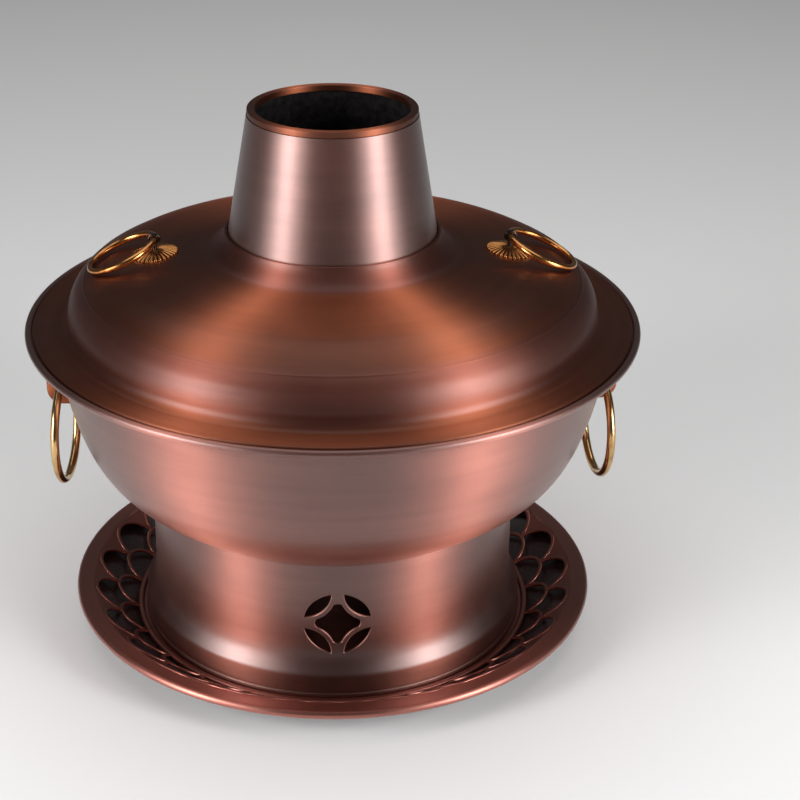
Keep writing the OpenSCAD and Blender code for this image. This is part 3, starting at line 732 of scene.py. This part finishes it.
class HOTPOT_OT_tray_openwork(PieceOperator):
    """Builds the copper tray: rim, raised ring, floor and the fish-scale lattice"""

    bl_idname = "hotpot.tray_openwork"
    bl_label = "Openwork tray"

    def make(self, scene):
        s = scene.hotpot_tray
        tray_top = top("tray_openwork")
        edge_r = reach("tray_openwork") - s.edge
        tray_floor = s.pan_sheet + s.sheet
        bead_z = tray_floor + s.bead_rise
        flat_z, lip, plain, tuck = tray_top - 0.1 * MM, 0.5 * MM, 1.6 * MM, 0.2 * MM
        rim = np.concatenate([
            arc((edge_r, tray_top - s.edge), s.edge, -0.75 * np.pi, 0.5 * np.pi, 24),
            line((edge_r - 0.8 * s.edge, flat_z), (s.rim_inner + plain, flat_z), 3),
            arc((s.rim_inner + lip, tray_top - lip), lip, 0.5 * np.pi, 1.25 * np.pi, 6),
            [(s.rim_inner - tuck, tray_top - s.sheet), (edge_r - 1.5 * s.edge, tray_top - 1.3 * s.sheet)],
        ])
        bead = np.concatenate([
            [(0, s.pan_sheet)],
            line((s.bead_middle / 2, s.pan_sheet), (s.bead_middle, s.pan_sheet), 6),
            s.bead * squared(arc((0, 0), 1, -0.4 * np.pi, 1.05 * np.pi, 24), 0.7) + (s.bead_middle, bead_z),
            line((s.bead_middle - 1.2 * s.bead, tray_floor), (s.bead_middle / 2, tray_floor), 6),
            [(0, tray_floor)],
        ])
        parts = [turned(rim), turned(bead, poles=True)] + self.lattice(s)
        build("openwork_tray", parts, finish("tray_copper"), "tray", ["tray_openwork"])

    def lattice(self, s):
        """Two rows of round arches on the cone, swept as rounded ribs, and the plain sheet outside them.

        An arch over the half angle h from radius a to apex b is the circle through its two feet
        a (cos h, +-sin h) and its apex (b, 0)."""
        turn = 2 * np.pi / s.arches
        foot_r = s.bead_middle + s.bead
        top_r = s.rim_inner - s.arch_margin
        joint_r = foot_r + (top_r - foot_r) * s.arch_split
        inner = self.arch(foot_r, joint_r, turn / 2)
        outer = self.arch(joint_r, top_r, turn / 2)
        lie = tray_slope(s)
        thick = (s.sheet + s.rib_crown) / 2
        section = squared(circle(1, 16), 0.62) * (s.rib / 2, thick)
        parts = []
        for arch, start in ((inner, 0.5), (outer, 0)):
            for i in range(s.arches):
                path = arch @ flat_turn((i + start) * turn)
                radius = np.linalg.norm(path, axis=1)
                level = tray_height(s, radius) + s.rib_crown - thick
                lean = -math.sin(lie) * path / radius[:, None]
                up = np.column_stack([lean, np.full(len(path), math.cos(lie))])
                path = np.column_stack([path, level])
                ahead = unit(differences(path[None], 1, False)[0])
                parts.append(swept(path, unit(np.cross(ahead, up)), up, section, wrap=False))
        cells = np.concatenate([outer[:-1] @ flat_turn(i * turn) for i in range(s.arches)])
        radius = np.linalg.norm(cells, axis=1)[:, None]
        way = cells / radius
        r = radius + (s.rim_inner + 0.4 * MM - radius) * np.linspace(0, 1, 6)[None]
        over = np.concatenate([way[:, None] * r[:, :, None], tray_height(s, r)[:, :, None]], 2)
        under = over - (0, 0, s.sheet)
        parts.append(surface(np.concatenate([over, under[:, ::-1]], 1), flip=True))
        return parts

    def arch(self, a, b, half):
        """The arch's middle line in plan, with its apex on the first axis."""
        c, h = a * math.sin(half), b - a * math.cos(half)
        radius = (c * c + h * h) / (2 * h)
        reach_angle = math.atan2(c, a * math.cos(half) - (b - radius))
        return arc((b - radius, 0), radius, -reach_angle, reach_angle, 26)


def stand_line(s):
    """Outer line of the stand, from the foot bead over the ridge and up the flare to the top."""
    low, high = foot("stand"), top("stand")
    ridge_z = low + s.band
    flare = bezier(
        (s.ridge, ridge_z),
        (s.ridge - s.ridge_pull * math.cos(s.flare_rise), ridge_z + s.ridge_pull * math.sin(s.flare_rise)),
        (s.wall, ridge_z + s.flare - s.flare_pull),
        (s.wall, ridge_z + s.flare),
        28,
    )
    turn_in = bezier(
        (s.ridge, ridge_z - s.ridge_round), (s.ridge, ridge_z - 0.4 * s.ridge_round),
        (s.ridge - 0.25 * s.ridge_round, ridge_z + 0.2 * s.ridge_round), flare[2], 6,
    )
    return np.concatenate([
        line((s.ridge, low + s.foot_bead), turn_in[0], 5)[:-1],
        turn_in[:-1],
        flare[2:],
        line((s.wall, ridge_z + s.flare), (s.wall, high), 16)[1:],
    ])


def coin_outlines(s):
    """The openings of the coin pattern, flat round its middle: four petals, then the heart.

    A petal is where the vent's circle meets a circle about the corner of its square; the heart is what
    four slightly larger corner circles leave, its tips closed by cubic curves."""
    r = s.vent / 2
    corner = math.hypot(r, r)
    small = r - s.petal_inset
    a = math.acos((r * r + corner**2 - small**2) / (2 * r * corner))
    b = math.acos((small**2 + corner**2 - r * r) / (2 * small * corner))
    petal = np.concatenate([
        arc((0, 0), r, -a, a, 22)[:-1],
        arc((corner, 0), small, math.pi - b, math.pi + b, 18)[:-1],
    ])
    wide, waist = small + s.vent_rib, s.heart - s.heart_tip
    a = math.acos((waist**2 + corner**2 - wide**2) / (2 * waist * corner))
    b = math.acos((wide**2 + corner**2 - waist**2) / (2 * wide * corner))
    hollow = arc((corner, 0), wide, math.pi + b, math.pi - b, 12)
    near, far = hollow[-1], hollow[-1][::-1]
    push = 4 / 3 * (s.heart - waist * math.cos(math.pi / 4 - a)) / math.sqrt(2)
    quarter = np.concatenate([hollow[:-1], bezier(near, near + push, far + push, far, 10)[:-1]])
    turns = [flat_turn(math.pi / 4 + k * math.pi / 2) for k in range(4)]
    return [petal @ m for m in turns] + [np.concatenate([quarter @ m for m in turns])]


def grown(outline, by):
    """A closed counter-clockwise outline moved outwards; sharp corners move at most twice as far."""
    before = unit(outline - np.roll(outline, 1, 0))
    after = unit(np.roll(outline, -1, 0) - outline)
    n = unit(np.stack([before[:, 1] + after[:, 1], -before[:, 0] - after[:, 0]], 1))
    fit = np.sum(n * np.stack([before[:, 1], -before[:, 0]], 1), 1)
    return outline + by * n / np.maximum(fit, 0.5)[:, None]


def inside(points, outline):
    """Which points lie in a closed outline, by counting the sides that a level ray crosses."""
    a, b = outline, np.roll(outline, -1, 0)
    y = points[:, 1:2]
    crosses = (a[None, :, 1] > y) != (b[None, :, 1] > y)
    at = a[:, 0] + (y - a[:, 1]) * (b[:, 0] - a[:, 0]) / np.where(b[:, 1] == a[:, 1], 1, b[:, 1] - a[:, 1])
    return (crosses & (points[:, :1] < at)).sum(1) % 2 == 1


class HOTPOT_OT_stand(PieceOperator):
    """Builds the stand: a turned skirt, pierced front and back by coin-shaped vents"""

    bl_idname = "hotpot.stand"
    bl_label = "Stand"

    def make(self, scene):
        s = scene.hotpot_stand
        line_out = stand_line(s)
        vent_z = foot("stand") + s.vent_height
        heights = line_out[:, 1]
        d = np.gradient(line_out, along(line_out), axis=0)
        slope = np.stack([d[:, 1], -d[:, 0]], 1) / np.linalg.norm(d, axis=1)[:, None]

        def on_wall(turn, z, depth):
            """Point and outward normal at a turn and a height, depth below the outer face."""
            r = np.interp(z, heights, line_out[:, 0])
            nr, nz = np.interp(z, heights, slope[:, 0]), np.interp(z, heights, slope[:, 1])
            out = np.stack([np.cos(turn), np.sin(turn)], 1)
            radius = (r - depth)[:, None]
            return (np.column_stack([out * radius, z]),
                    np.column_stack([out * nr[:, None], nz]), r - depth)

        outlines = coin_outlines(s)
        parts = self.faces(s, outlines, heights, vent_z, on_wall)
        for side in (1, -1):
            for outline in outlines:
                parts.append(self.edge(s, outline, side, vent_z, on_wall))
        bead_z = foot("stand") + s.foot_bead
        parts.append(turned(circle(s.foot_bead, 20) + (s.ridge - s.sheet / 2, bead_z)))
        build("coin_vent_stand", parts, finish("brushed_copper"), "pot", ["stand"])

    def faces(self, s, outlines, heights, vent_z, on_wall):
        """The outer and the inner face: a net over (turn, height) with the vents left out.

        The vents are flat outlines carried straight along Y, so that a point x across lies at the turn
        whose cosine is x over the radius."""
        turns = np.linspace(-np.pi, np.pi, TURNS + 1)
        net_t, net_z = (g.ravel() for g in np.meshgrid(turns, heights, indexing="ij"))
        net = np.column_stack([net_t, net_z])
        holes = []
        for side in (1, -1):
            for outline in outlines:
                wide = grown(outline, s.vent_round)
                z = wide[:, 1] + vent_z
                t = (np.arcsin(wide[:, 0] / on_wall(z * 0, z, 0)[2]) - np.pi / 2) * side
                holes.append(np.column_stack([t, z]))
        keep = np.ones(len(net), bool)
        for loop in holes:
            near = np.linalg.norm((net[:, None] - loop[None, ::2]) * (s.wall, 1), axis=2).min(1) < 0.5 * MM
            keep &= ~inside(net, loop) & ~near
        points, edges = net[keep], []
        for loop in holes:
            ring = len(points) + np.arange(len(loop))
            edges += np.stack([ring, np.roll(ring, -1)], 1).tolist()
            points = np.concatenate([points, loop])
        flat = points * (s.wall, 1)
        made = delaunay_2d_cdt(flat.tolist(), edges, [], 0, 1e-9)
        flat = np.array(made[0])
        triangles = np.array(made[2])
        middles = flat[triangles].mean(1)
        solid = np.ones(len(triangles), bool)
        for loop in holes:
            solid &= ~inside(middles, loop * (s.wall, 1))
        triangles = triangles[solid]
        turn, z = flat[:, 0] / s.wall, flat[:, 1]
        wrapped = np.where(turn > np.pi - 1e-6, -np.pi, turn)
        keys = np.round(np.column_stack([wrapped, z]), 7)
        unique, first, back = np.unique(keys, axis=0, return_index=True, return_inverse=True)
        turn, z, triangles = turn[first], z[first], back.ravel()[triangles]
        parts = []
        for depth, way in ((0, 1), (s.sheet, -1)):
            where, normal, _ = on_wall(turn, z, depth)
            a, b, c = (where[triangles[:, k]] for k in range(3))
            outward = np.sum(np.cross(b - a, c - a) * normal[triangles[:, 0]]) * way > 0
            faces = triangles if outward else triangles[:, ::-1]
            parts.append((where, way * normal, np.zeros((0, 4), int), faces))
        for end in (heights[0], heights[-1]):
            rows = [on_wall(turns[:-1], np.full(TURNS, end), depth)[0] for depth in (0, s.sheet)]
            parts.append(surface(np.stack(rows, 1), True, False, flip=end == heights[0]))
        return parts

    def edge(self, s, outline, side, vent_z, on_wall):
        """The wall of one opening: rings of the outline, rounded over at both faces."""
        quarter = np.linspace(0, np.pi / 2, 4)
        rings = [(s.vent_round * (1 - math.sin(a)), s.vent_round * (1 - math.cos(a))) for a in quarter]
        rings += [(g, s.sheet - d) for g, d in reversed(rings)]
        rows = []
        for growth, depth in rings:
            wide = grown(outline, growth)
            z = wide[:, 1] + vent_z
            radius = on_wall(z * 0, z, depth)[2]
            turn = np.arcsin(wide[:, 0] / radius) * side - np.pi / 2 * side
            rows.append(on_wall(turn, z, depth)[0])
        return surface(np.stack(rows, 1), True, False, flip=side < 0)


def bowl_wall(s):
    """Outer line of the bowl from its mouth down to its floor: one cubic curve."""
    rim_z = top("bowl") - s.rim_bead
    floor_z = foot("bowl")
    floor_r = bpy.context.scene.hotpot_stand.wall + s.floor_step
    start = np.array((s.mouth, rim_z - s.sheet))
    end = np.array((floor_r, floor_z))
    return bezier(
        start,
        start - s.wall_pull * np.array((math.sin(s.wall_lean), math.cos(s.wall_lean))),
        end + s.floor_pull * np.array((math.cos(s.floor_rise), math.sin(s.floor_rise))),
        end, 48,
    )


def tube_radius(s, z):
    """Outside radius of the fire tube: it grows in proportion to the depth below the mouth."""
    return s.chimney + s.taper * (top("chimney_lip") - s.lip / 2 - z)


class HOTPOT_OT_bowl(PieceOperator):
    """Turns the bowl with its flange and rolled rim"""

    bl_idname = "hotpot.bowl"
    bl_label = "Bowl"

    def make(self, scene):
        s = scene.hotpot_bowl
        rim_z, floor_z = top("bowl") - s.rim_bead, foot("bowl")
        rim_x = reach("bowl") - s.rim_bead
        wall = bowl_wall(s)
        inner = beside(wall, -s.sheet)
        inner = inner[(inner[:, 1] > floor_z + 2.5 * s.sheet) & (inner[:, 1] < rim_z - 2 * s.sheet)]
        mouth_in = s.mouth - s.sheet / math.cos(s.wall_lean)
        under_z, inside_z = rim_z - s.sheet, floor_z + s.sheet
        ease, hidden = 1.5 * MM, 1 * MM
        corner, foot_r = (s.mouth, under_z), wall[-1][0]
        outside = [bezier((s.mouth + ease, under_z), corner, corner, wall[1], 5)[:-1], wall[1:-1]]
        spring = bezier(
            (foot_r - 8 * MM, inside_z), (foot_r + 1 * MM, inside_z),
            inner[-1] - (2 * MM, 1 * MM), inner[-1], 8,
        )
        over = bezier(inner[0], (mouth_in, under_z), (mouth_in, rim_z), (mouth_in + ease, rim_z), 5)
        tube = tube_radius(s, floor_z) - hidden
        outline = np.concatenate([
            *outside,
            line(wall[-1], (tube, floor_z), 3),
            line((tube, inside_z), spring[0], 3)[:-1],
            spring,
            inner[::-1][1:],
            over[1:],
            line((mouth_in + ease, rim_z), (rim_x - 0.5 * s.rim_bead, rim_z), 4)[1:],
            arc((rim_x, rim_z), s.rim_bead, np.pi * 0.93, -np.pi * 0.78, 26),
        ])
        build("brushed_bowl", [turned(outline)], finish("brushed_copper"), "pot", ["bowl"])


class HOTPOT_OT_fire_tube(PieceOperator):
    """Turns the fire tube, sooty inside, with its flat lip, and finishes the grate"""

    bl_idname = "hotpot.fire_tube"
    bl_label = "Fire tube"

    def make(self, scene):
        s = scene.hotpot_bowl
        floor_z, end_z = foot("fire_tube"), top("fire_tube")
        wall = s.tube_sheet * math.hypot(1, s.taper)
        outer = line((tube_radius(s, floor_z), floor_z), (tube_radius(s, end_z), end_z), 40)
        ledge_z = floor_z + s.ledge_sheet
        ledge_r = tube_radius(s, ledge_z) - wall
        inner = np.concatenate([
            line((tube_radius(s, end_z) - wall, end_z), (ledge_r, ledge_z), 40),
            [(ledge_r - s.ledge, ledge_z), (ledge_r - s.ledge, floor_z)],
        ])
        flue = np.concatenate([outer[-1:], inner, outer[:1]])
        parts = [surface(spun(*side.T), True, False) for side in (outer, flue)]
        looks = [finish("brushed_copper"), finish("soot")]
        build("fire_tube_shell", parts, looks, "pot", ["fire_tube"])
        self.lip(s)
        dress("grate", "cast_iron")

    def lip(self, s):
        """The lip at the chimney's mouth: a flat ring whose edges are rounded."""
        inner, low = s.chimney - s.lip, foot("chimney_lip")
        high = low + s.lip_tall
        corners = [(inner, low), (s.chimney, low), (s.chimney, high), (inner, high)]
        outline = soften(corners, 0.6 * MM, 6)
        # Painted reflection: the lip's flat top takes the warm copper, the orange tint painted for copper
        # that faces up.
        build("flat_lip", [turned(outline)], finish("warm_copper"), "pot", ["chimney_lip"])


def lid_line(scene):
    """Outer line of the lid, inwards: hollow, shoulder, crown, then the collar's sweep.

    The shoulder's and the crown's arcs touch at the crown break, where both radii grow by the crease
    times the exponential of minus the squared distance."""
    s = scene.hotpot_lid
    rim_z = top("bowl") - scene.hotpot_bowl.rim_bead
    lid_top = foot("lid") + s.sheet
    shoulder = np.array((s.shoulder - s.shoulder_round, rim_z + s.shoulder_height))
    turn = math.pi / 2 - s.crown_break
    way = np.array((math.cos(turn), math.sin(turn)))
    crown = shoulder + (s.shoulder_round - s.crown_round) * way
    end = crown + s.crown_round * np.array((math.sin(s.crown_slope), math.cos(s.crown_slope)))
    collar_z = top("lid")
    collar = np.array((tube_radius(scene.hotpot_bowl, collar_z) + s.collar_clear + s.sheet, collar_z))
    inwards = np.array((-1, math.tan(s.crown_slope)))
    foot_point = end + (end[0] - collar[0] - s.collar_spread) * inwards
    taper = scene.hotpot_bowl.taper
    rise = s.crease * np.exp(-(np.linspace(3, 0, 10)[:, None] ** 2))
    fine = 3 * s.crease_width
    near_shoulder, near_crown = turn - fine / s.shoulder_round, turn + fine / s.crown_round
    return np.concatenate([
        arc((s.shoulder + s.hollow, lid_top + s.hollow), s.hollow, 1.5 * np.pi, np.pi, 16),
        line((s.shoulder, lid_top + s.hollow), (s.shoulder, shoulder[1]), 2)[1:-1],
        arc(shoulder, s.shoulder_round, 0, near_shoulder, 20)[:-1],
        arc(shoulder, s.shoulder_round + rise, near_shoulder, turn, 9),
        arc(crown, s.crown_round + rise[::-1], turn, near_crown, 9)[1:-1],
        arc(crown, s.crown_round, near_crown, math.pi / 2 - s.crown_slope, 20),
        line(end, foot_point, 12)[1:],
        bezier(foot_point, foot_point + s.collar_pull * unit(inwards),
               collar - s.collar_pull * np.array((-taper, 1)), collar, 24)[1:],
    ])


def crown_height(scene):
    """Height of the lid's crown where the rosettes stand."""
    outer = lid_line(scene)[::-1]
    return float(np.interp(scene.hotpot_lid.rosette_at, outer[:, 0], outer[:, 1]))


class HOTPOT_OT_lid(PieceOperator):
    """Turns the lid: hem, flange, shoulder, crown and collar"""

    bl_idname = "hotpot.lid"
    bl_label = "Lid"

    def make(self, scene):
        s = scene.hotpot_lid
        outer = lid_line(scene)
        inner = beside(outer, s.sheet)
        seat = foot("lid")
        inner = inner[inner[:, 1] > seat + 0.6 * MM]
        hem_r = reach("lid") - s.hem
        outline = np.concatenate([
            arc((hem_r, seat + s.hem), s.hem, -0.5 * np.pi, 0.62 * np.pi, 18),
            line((hem_r - 1.2 * s.hem, seat + s.sheet), outer[0], 4)[1:-1],
            outer,
            inner[::-1],
            line((outer[0][0] - 3 * MM, seat), (hem_r - 1.2 * s.hem, seat), 4)[1:],
        ])
        # Painted reflection: the lid's copper is warm orange on the crown and flange, which face up, and rosy
        # on the steep shoulder and collar.
        build("domed_lid", [turned(outline)], finish("lid_copper"), "lid", ["lid"])


class HOTPOT_OT_lid_fittings(PieceOperator):
    """Makes the pleated rosettes and the split-pin eyes, and finishes the washers"""

    bl_idname = "hotpot.lid_fittings"
    bl_label = "Rosettes and eyes"

    def make(self, scene):
        s = scene.hotpot_lid
        crown_z = crown_height(scene)
        for side, word in ((-1, "left"), (1, "right")):
            at, mirror = (side * s.rosette_at, 0, crown_z), side_matrix(side)
            rosette = placed(self.rosette(s), mirror @ turn_about("Y", s.crown_slope), at)
            build(f"pleated_rosette_{word}", [rosette], finish("pleated_brass"), "lid",
                  [f"lid_rosette_{word}"])
            eye = [placed(part, mirror, at) for part in self.eye(s)]
            build(f"split_pin_eye_{word}", eye, finish("gunmetal"), "lid", [f"lid_eye_{word}"])
            dress(f"lid_washer_{word}", "warm_brass")

    def rosette(self, s):
        """A pleated cone: height falls with radius, and pleats that deepen outwards ride on it.

        Each pleat is the size of the cosine of half the pleats' count times the turn, so that the folds
        between them are sharp."""
        crisp, cone, bulge = 0.7, 0.85, 1.6
        deepest, lift, sunk = 0.75 * MM, 0.2 * MM, 0.3 * MM
        t = np.linspace(0, 2 * np.pi, s.pleats * 12, endpoint=False)[:, None]
        wave = np.abs(np.cos(s.pleats * t / 2)) ** crisp
        u = np.concatenate([np.linspace(0.12, 0.96, 14), [0.985, 1.0]])[None]
        r = u * (s.rosette / 2 - s.tooth * (1 - wave))
        rise = cone * s.rosette_height * (1 - u**bulge)
        pleat = deepest * np.clip((u - 0.16) / 0.3, 0, 1) * wave
        z = lift + rise + pleat * (0.35 + 0.65 * u)
        over = np.stack([r * np.cos(t), r * np.sin(t), z], 2)
        base = over[:, -1:] * (1, 1, 0) - (0, 0, sunk)
        return surface(np.concatenate([base, over[:, ::-1]], 1), True, False, close_v=True)

    def eye(self, s):
        """The loop over its shank, whose legs are bent apart below the lid."""
        steps, pin, slit, leg, leg_z = 48, 1.25 * MM, 0.2 * MM, 0.9 * MM, 4.6 * MM
        t = np.linspace(0, 2 * np.pi, steps, endpoint=False)
        out = np.stack([np.cos(t), 0 * t, np.sin(t)], 1)
        path = eye_loop(s) * out + (0, 0, eye_height(s))
        loop = swept(path, out, np.tile((0.0, 1.0, 0.0), (steps, 1)), circle(s.eye_wire / 2, 16))
        low, high = -5 * MM, eye_height(s) - eye_loop(s)
        shank = soften([(slit, low), (pin, low), (pin, high), (slit, high)], slit)
        legs = np.linspace(low, -low, 9)
        path = np.stack([0 * legs, legs, 0 * legs - leg_z], 1)
        along_x, along_z = np.tile((1.0, 0, 0), (9, 1)), np.tile((0, 0, 1.0), (9, 1))
        bent = swept(path, along_x, along_z, circle(leg, 12), wrap=False)
        return [loop, turned(shank, turns=24), bent]


def eye_loop(s):
    """Middle radius of an eye's loop."""
    return s.ring_wire / 2 + s.eye_gap + s.eye_wire / 2 - s.eye_ream


def eye_height(s):
    """Height of the loop's middle above the crown: it stands on the rosette."""
    return s.rosette_height + s.eye_rise + eye_loop(s) + s.eye_wire / 2


def worn_ring(radius, wire):
    """A ring of round wire in the XY plane, about its own middle, very slightly uneven by hand work."""
    steps, unevenness = 160, 0.0015
    t = np.linspace(0, 2 * np.pi, steps, endpoint=False)
    out = np.stack([np.cos(t), np.sin(t), 0 * t], 1)
    wobble = radius * (1 + unevenness * np.cos(3 * t + 0.7))
    path = out * wobble[:, None]
    return swept(path, out, np.tile((0.0, 0.0, 1.0), (steps, 1)), circle(wire / 2, 24))


class HOTPOT_OT_lid_rings(PieceOperator):
    """Makes the two rings that lie on the lid"""

    bl_idname = "hotpot.lid_rings"
    bl_label = "Lid rings"

    def make(self, scene):
        s = scene.hotpot_lid
        eye_z = crown_height(scene) + eye_height(s)
        low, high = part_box("lid_ring_right")
        lie = math.asin((high.z - low.z - s.ring_wire) / (2 * s.ring))
        for side, word in ((-1, "left"), (1, "right")):
            matrix = side_matrix(side) @ turn_about("Y", lie)
            middle = side_matrix(side) @ (turn_about("Y", lie) @ (s.ring, 0, 0) + (s.rosette_at, 0, eye_z))
            build(f"brass_lid_ring_{word}", [placed(worn_ring(s.ring, s.ring_wire), matrix, middle)],
                  finish("warm_brass"), f"lid_ring_{word}", [f"lid_ring_{word}"])


class HOTPOT_OT_bowl_handles(PieceOperator):
    """Makes the lugs on the bowl and the rings that hang from them, and finishes the rivets"""

    bl_idname = "hotpot.bowl_handles"
    bl_label = "Bowl handles"

    def make(self, scene):
        s = scene.hotpot_handles
        rim_z = top("bowl") - scene.hotpot_bowl.rim_bead
        hang = np.array((s.hang_at, 0, rim_z - s.hang_drop))
        for side, word in ((-1, "left"), (1, "right")):
            mirror = side_matrix(side)
            upright = turn_about("Z", s.ring_yaw) @ turn_about("Y", math.pi / 2)
            ring = placed(worn_ring(s.ring, s.wire), mirror @ upright, mirror @ (hang - (0, 0, s.ring)))
            build(f"brass_bowl_ring_{word}", [ring], finish("pale_brass"), f"bowl_ring_{word}",
                  [f"bowl_ring_{word}"])
            build(f"cast_lug_{word}", [placed(self.lug(scene), mirror, mirror @ hang)], finish("cast_copper"),
                  "pot", [f"handle_lug_{word}"])
            dress(f"handle_rivets_{word}", "brushed_copper")

    def lug(self, scene):
        """A lug round its bore: at each turn, a rounded box section from the bore out to the lug's outline.

        The outline is a stadium towards the outside and the bowl's wall on the inside."""
        s = scene.hotpot_handles
        turns, sunk_by, edge = 160, 0.3 * MM, 0.4 * MM
        t = np.linspace(0, 2 * np.pi, turns, endpoint=False)
        out, up = np.cos(t), np.sin(t)
        half = s.lug_height / 2 - s.lug_round
        wall = bowl_wall(scene.hotpot_bowl)[::-1]
        rim_z = top("bowl") - scene.hotpot_bowl.rim_bead
        steps = np.linspace(0, 30 * MM, 400)
        x = s.hang_at + steps * out[:, None]
        z = rim_z - s.hang_drop + steps * up[:, None]
        sunk = x < np.interp(z, wall[:, 1], wall[:, 0]) - sunk_by
        sunk[:, -1] = True
        inwards = np.minimum(steps[sunk.argmax(1)], (half + s.lug_round) / np.maximum(np.abs(up), 1e-6))
        far = np.where(out < 0, inwards, self.stadium(out, up, half, s.lug_round))
        bore, w, soft = s.wire / 2 + s.lug_gap, s.lug_width / 2, s.lug_soft
        columns = [(np.full(turns, bore), edge - w), (np.full(turns, bore + edge), -w)]
        columns += [(bore + (far - soft - bore) * k, -w) for k in (0.35, 0.7)]
        columns += [(far - soft + soft * math.sin(a), soft - w - soft * math.cos(a))
                    for a in np.linspace(0, np.pi / 2, 8)]
        columns += [(r, -y) for r, y in reversed(columns)]
        return surface(np.stack([np.stack([r * out, np.full(turns, y), r * up], 1) for r, y in columns], 1))

    def stadium(self, out, up, half, radius):
        """Distance from a stadium's middle to its outline in the directions (out, up).

        It is the radius over out where that meets the straight side, else the crossing with the round
        end's circle; upright directions meet the top, half the height away."""
        side = radius / np.maximum(out, 1e-9)
        along_ray = half * np.abs(up)
        end = along_ray + np.sqrt(np.maximum(along_ray**2 - half**2 + radius**2, 0))
        tall = (half + radius) / np.maximum(np.abs(up), 1e-9)
        return np.where(out <= 1e-9, tall, np.where(np.abs(side * up) <= half, side, end))


class HOTPOT_OT_studio(PieceOperator):
    """Sets the camera, the pale floor and the soft studio light"""

    bl_idname = "hotpot.studio"
    bl_label = "Studio"

    def make(self, scene):
        s = scene.hotpot_studio
        self.camera(scene, s)
        self.floor(scene, s)
        self.lamps(scene, s)
        scene.view_settings.view_transform = "Standard"

    def camera(self, scene, s):
        data = bpy.data.cameras.new("photo_camera")
        data.lens, data.sensor_width, data.shift_x = s.lens, 36.0, s.shift
        data.clip_end = 50
        camera = bpy.data.objects.new("photo_camera", data)
        left, back = math.sin(s.camera_turn), math.cos(s.camera_turn)
        camera.location = (-s.camera_distance * left, -s.camera_distance * back, s.camera_height)
        camera.rotation_euler = (math.pi / 2 - s.camera_pitch, 0, -s.camera_turn)
        scene.collection.objects.link(camera)
        scene.camera = camera

    def floor(self, scene, s):
        mesh = bpy.data.meshes.new("floor")
        r = 9.0
        mesh.from_pydata([(-r, -r, 0), (r, -r, 0), (r, r, 0), (-r, r, 0)], [], [(0, 1, 2, 3)])
        n = Nodes("pale_floor")
        n.set(Base_Color=(*s.floor, 1), Roughness=0.6, Specular_IOR_Level=0.3)
        mesh.materials.append(n.material)
        floor = bpy.data.objects.new("floor", mesh)
        scene.collection.objects.link(floor)

    def lamps(self, scene, s):
        world = bpy.data.worlds.new("studio_room")
        scene.world = world
        world.use_nodes = True
        world.node_tree.nodes["Background"].inputs[0].default_value = (*s.room, 1)
        tilt = math.pi / 2 - math.atan2(s.softbox_middle, s.softbox_away) / 2
        for side, word in ((-1, "left"), (1, "right")):
            turn = side * s.softbox_turn - s.camera_turn
            for name, power, wide, away in (
                ("softbox", s.softbox, s.softbox_wide, s.softbox_away),
                ("core", s.core, s.core_wide, s.softbox_away - 10 * MM),
            ):
                where = (away * math.sin(turn), -away * math.cos(turn), s.softbox_middle)
                self.lamp(scene, f"{name}_{word}", power, wide, s.softbox_tall, where, (tilt, 0, turn))
        where = (0, s.overhead_back, s.overhead_high)
        self.lamp(scene, "overhead", s.overhead, s.overhead_wide, s.overhead_wide, where, (0, 0, 0))

    def lamp(self, scene, name, power, wide, tall, where, turn):
        data = bpy.data.lights.new(name, "AREA")
        data.shape, data.energy, data.size, data.size_y = "RECTANGLE", power, wide, tall
        lamp = bpy.data.objects.new(name, data)
        lamp.location, lamp.rotation_euler, lamp.visible_camera = where, turn, False
        scene.collection.objects.link(lamp)


OPERATORS = [
    HOTPOT_OT_studio, HOTPOT_OT_tray_pan, HOTPOT_OT_tray_openwork, HOTPOT_OT_stand, HOTPOT_OT_bowl,
    HOTPOT_OT_fire_tube, HOTPOT_OT_lid, HOTPOT_OT_lid_fittings, HOTPOT_OT_lid_rings, HOTPOT_OT_bowl_handles,
]


class HOTPOT_PT_panel(bpy.types.Panel):
    """Lists the pieces of the hot pot"""

    bl_idname = "HOTPOT_PT_panel"
    bl_label = "Hot Pot"
    bl_space_type = "VIEW_3D"
    bl_region_type = "UI"
    bl_category = "Hot Pot"

    def draw(self, context):
        for operator in OPERATORS:
            self.layout.operator(operator.bl_idname)
        for name, group in GROUPS.items():
            box = self.layout.box()
            box.label(text=group.__doc__)
            for key in group.__annotations__:
                box.prop(getattr(context.scene, name), key)


def register():
    for group in GROUPS.values():
        bpy.utils.register_class(group)
    for name, group in GROUPS.items():
        setattr(bpy.types.Scene, name, PointerProperty(type=group))
    for operator in OPERATORS:
        bpy.utils.register_class(operator)
    bpy.utils.register_class(HOTPOT_PT_panel)


def unregister():
    bpy.utils.unregister_class(HOTPOT_PT_panel)
    for operator in reversed(OPERATORS):
        bpy.utils.unregister_class(operator)
    for name, group in GROUPS.items():
        delattr(bpy.types.Scene, name)
        bpy.utils.unregister_class(group)


def main():
    register()
    for operator in OPERATORS:
        group, name = operator.bl_idname.split(".")
        getattr(getattr(bpy.ops, group), name)()


if __name__ == "__main__":
    main()
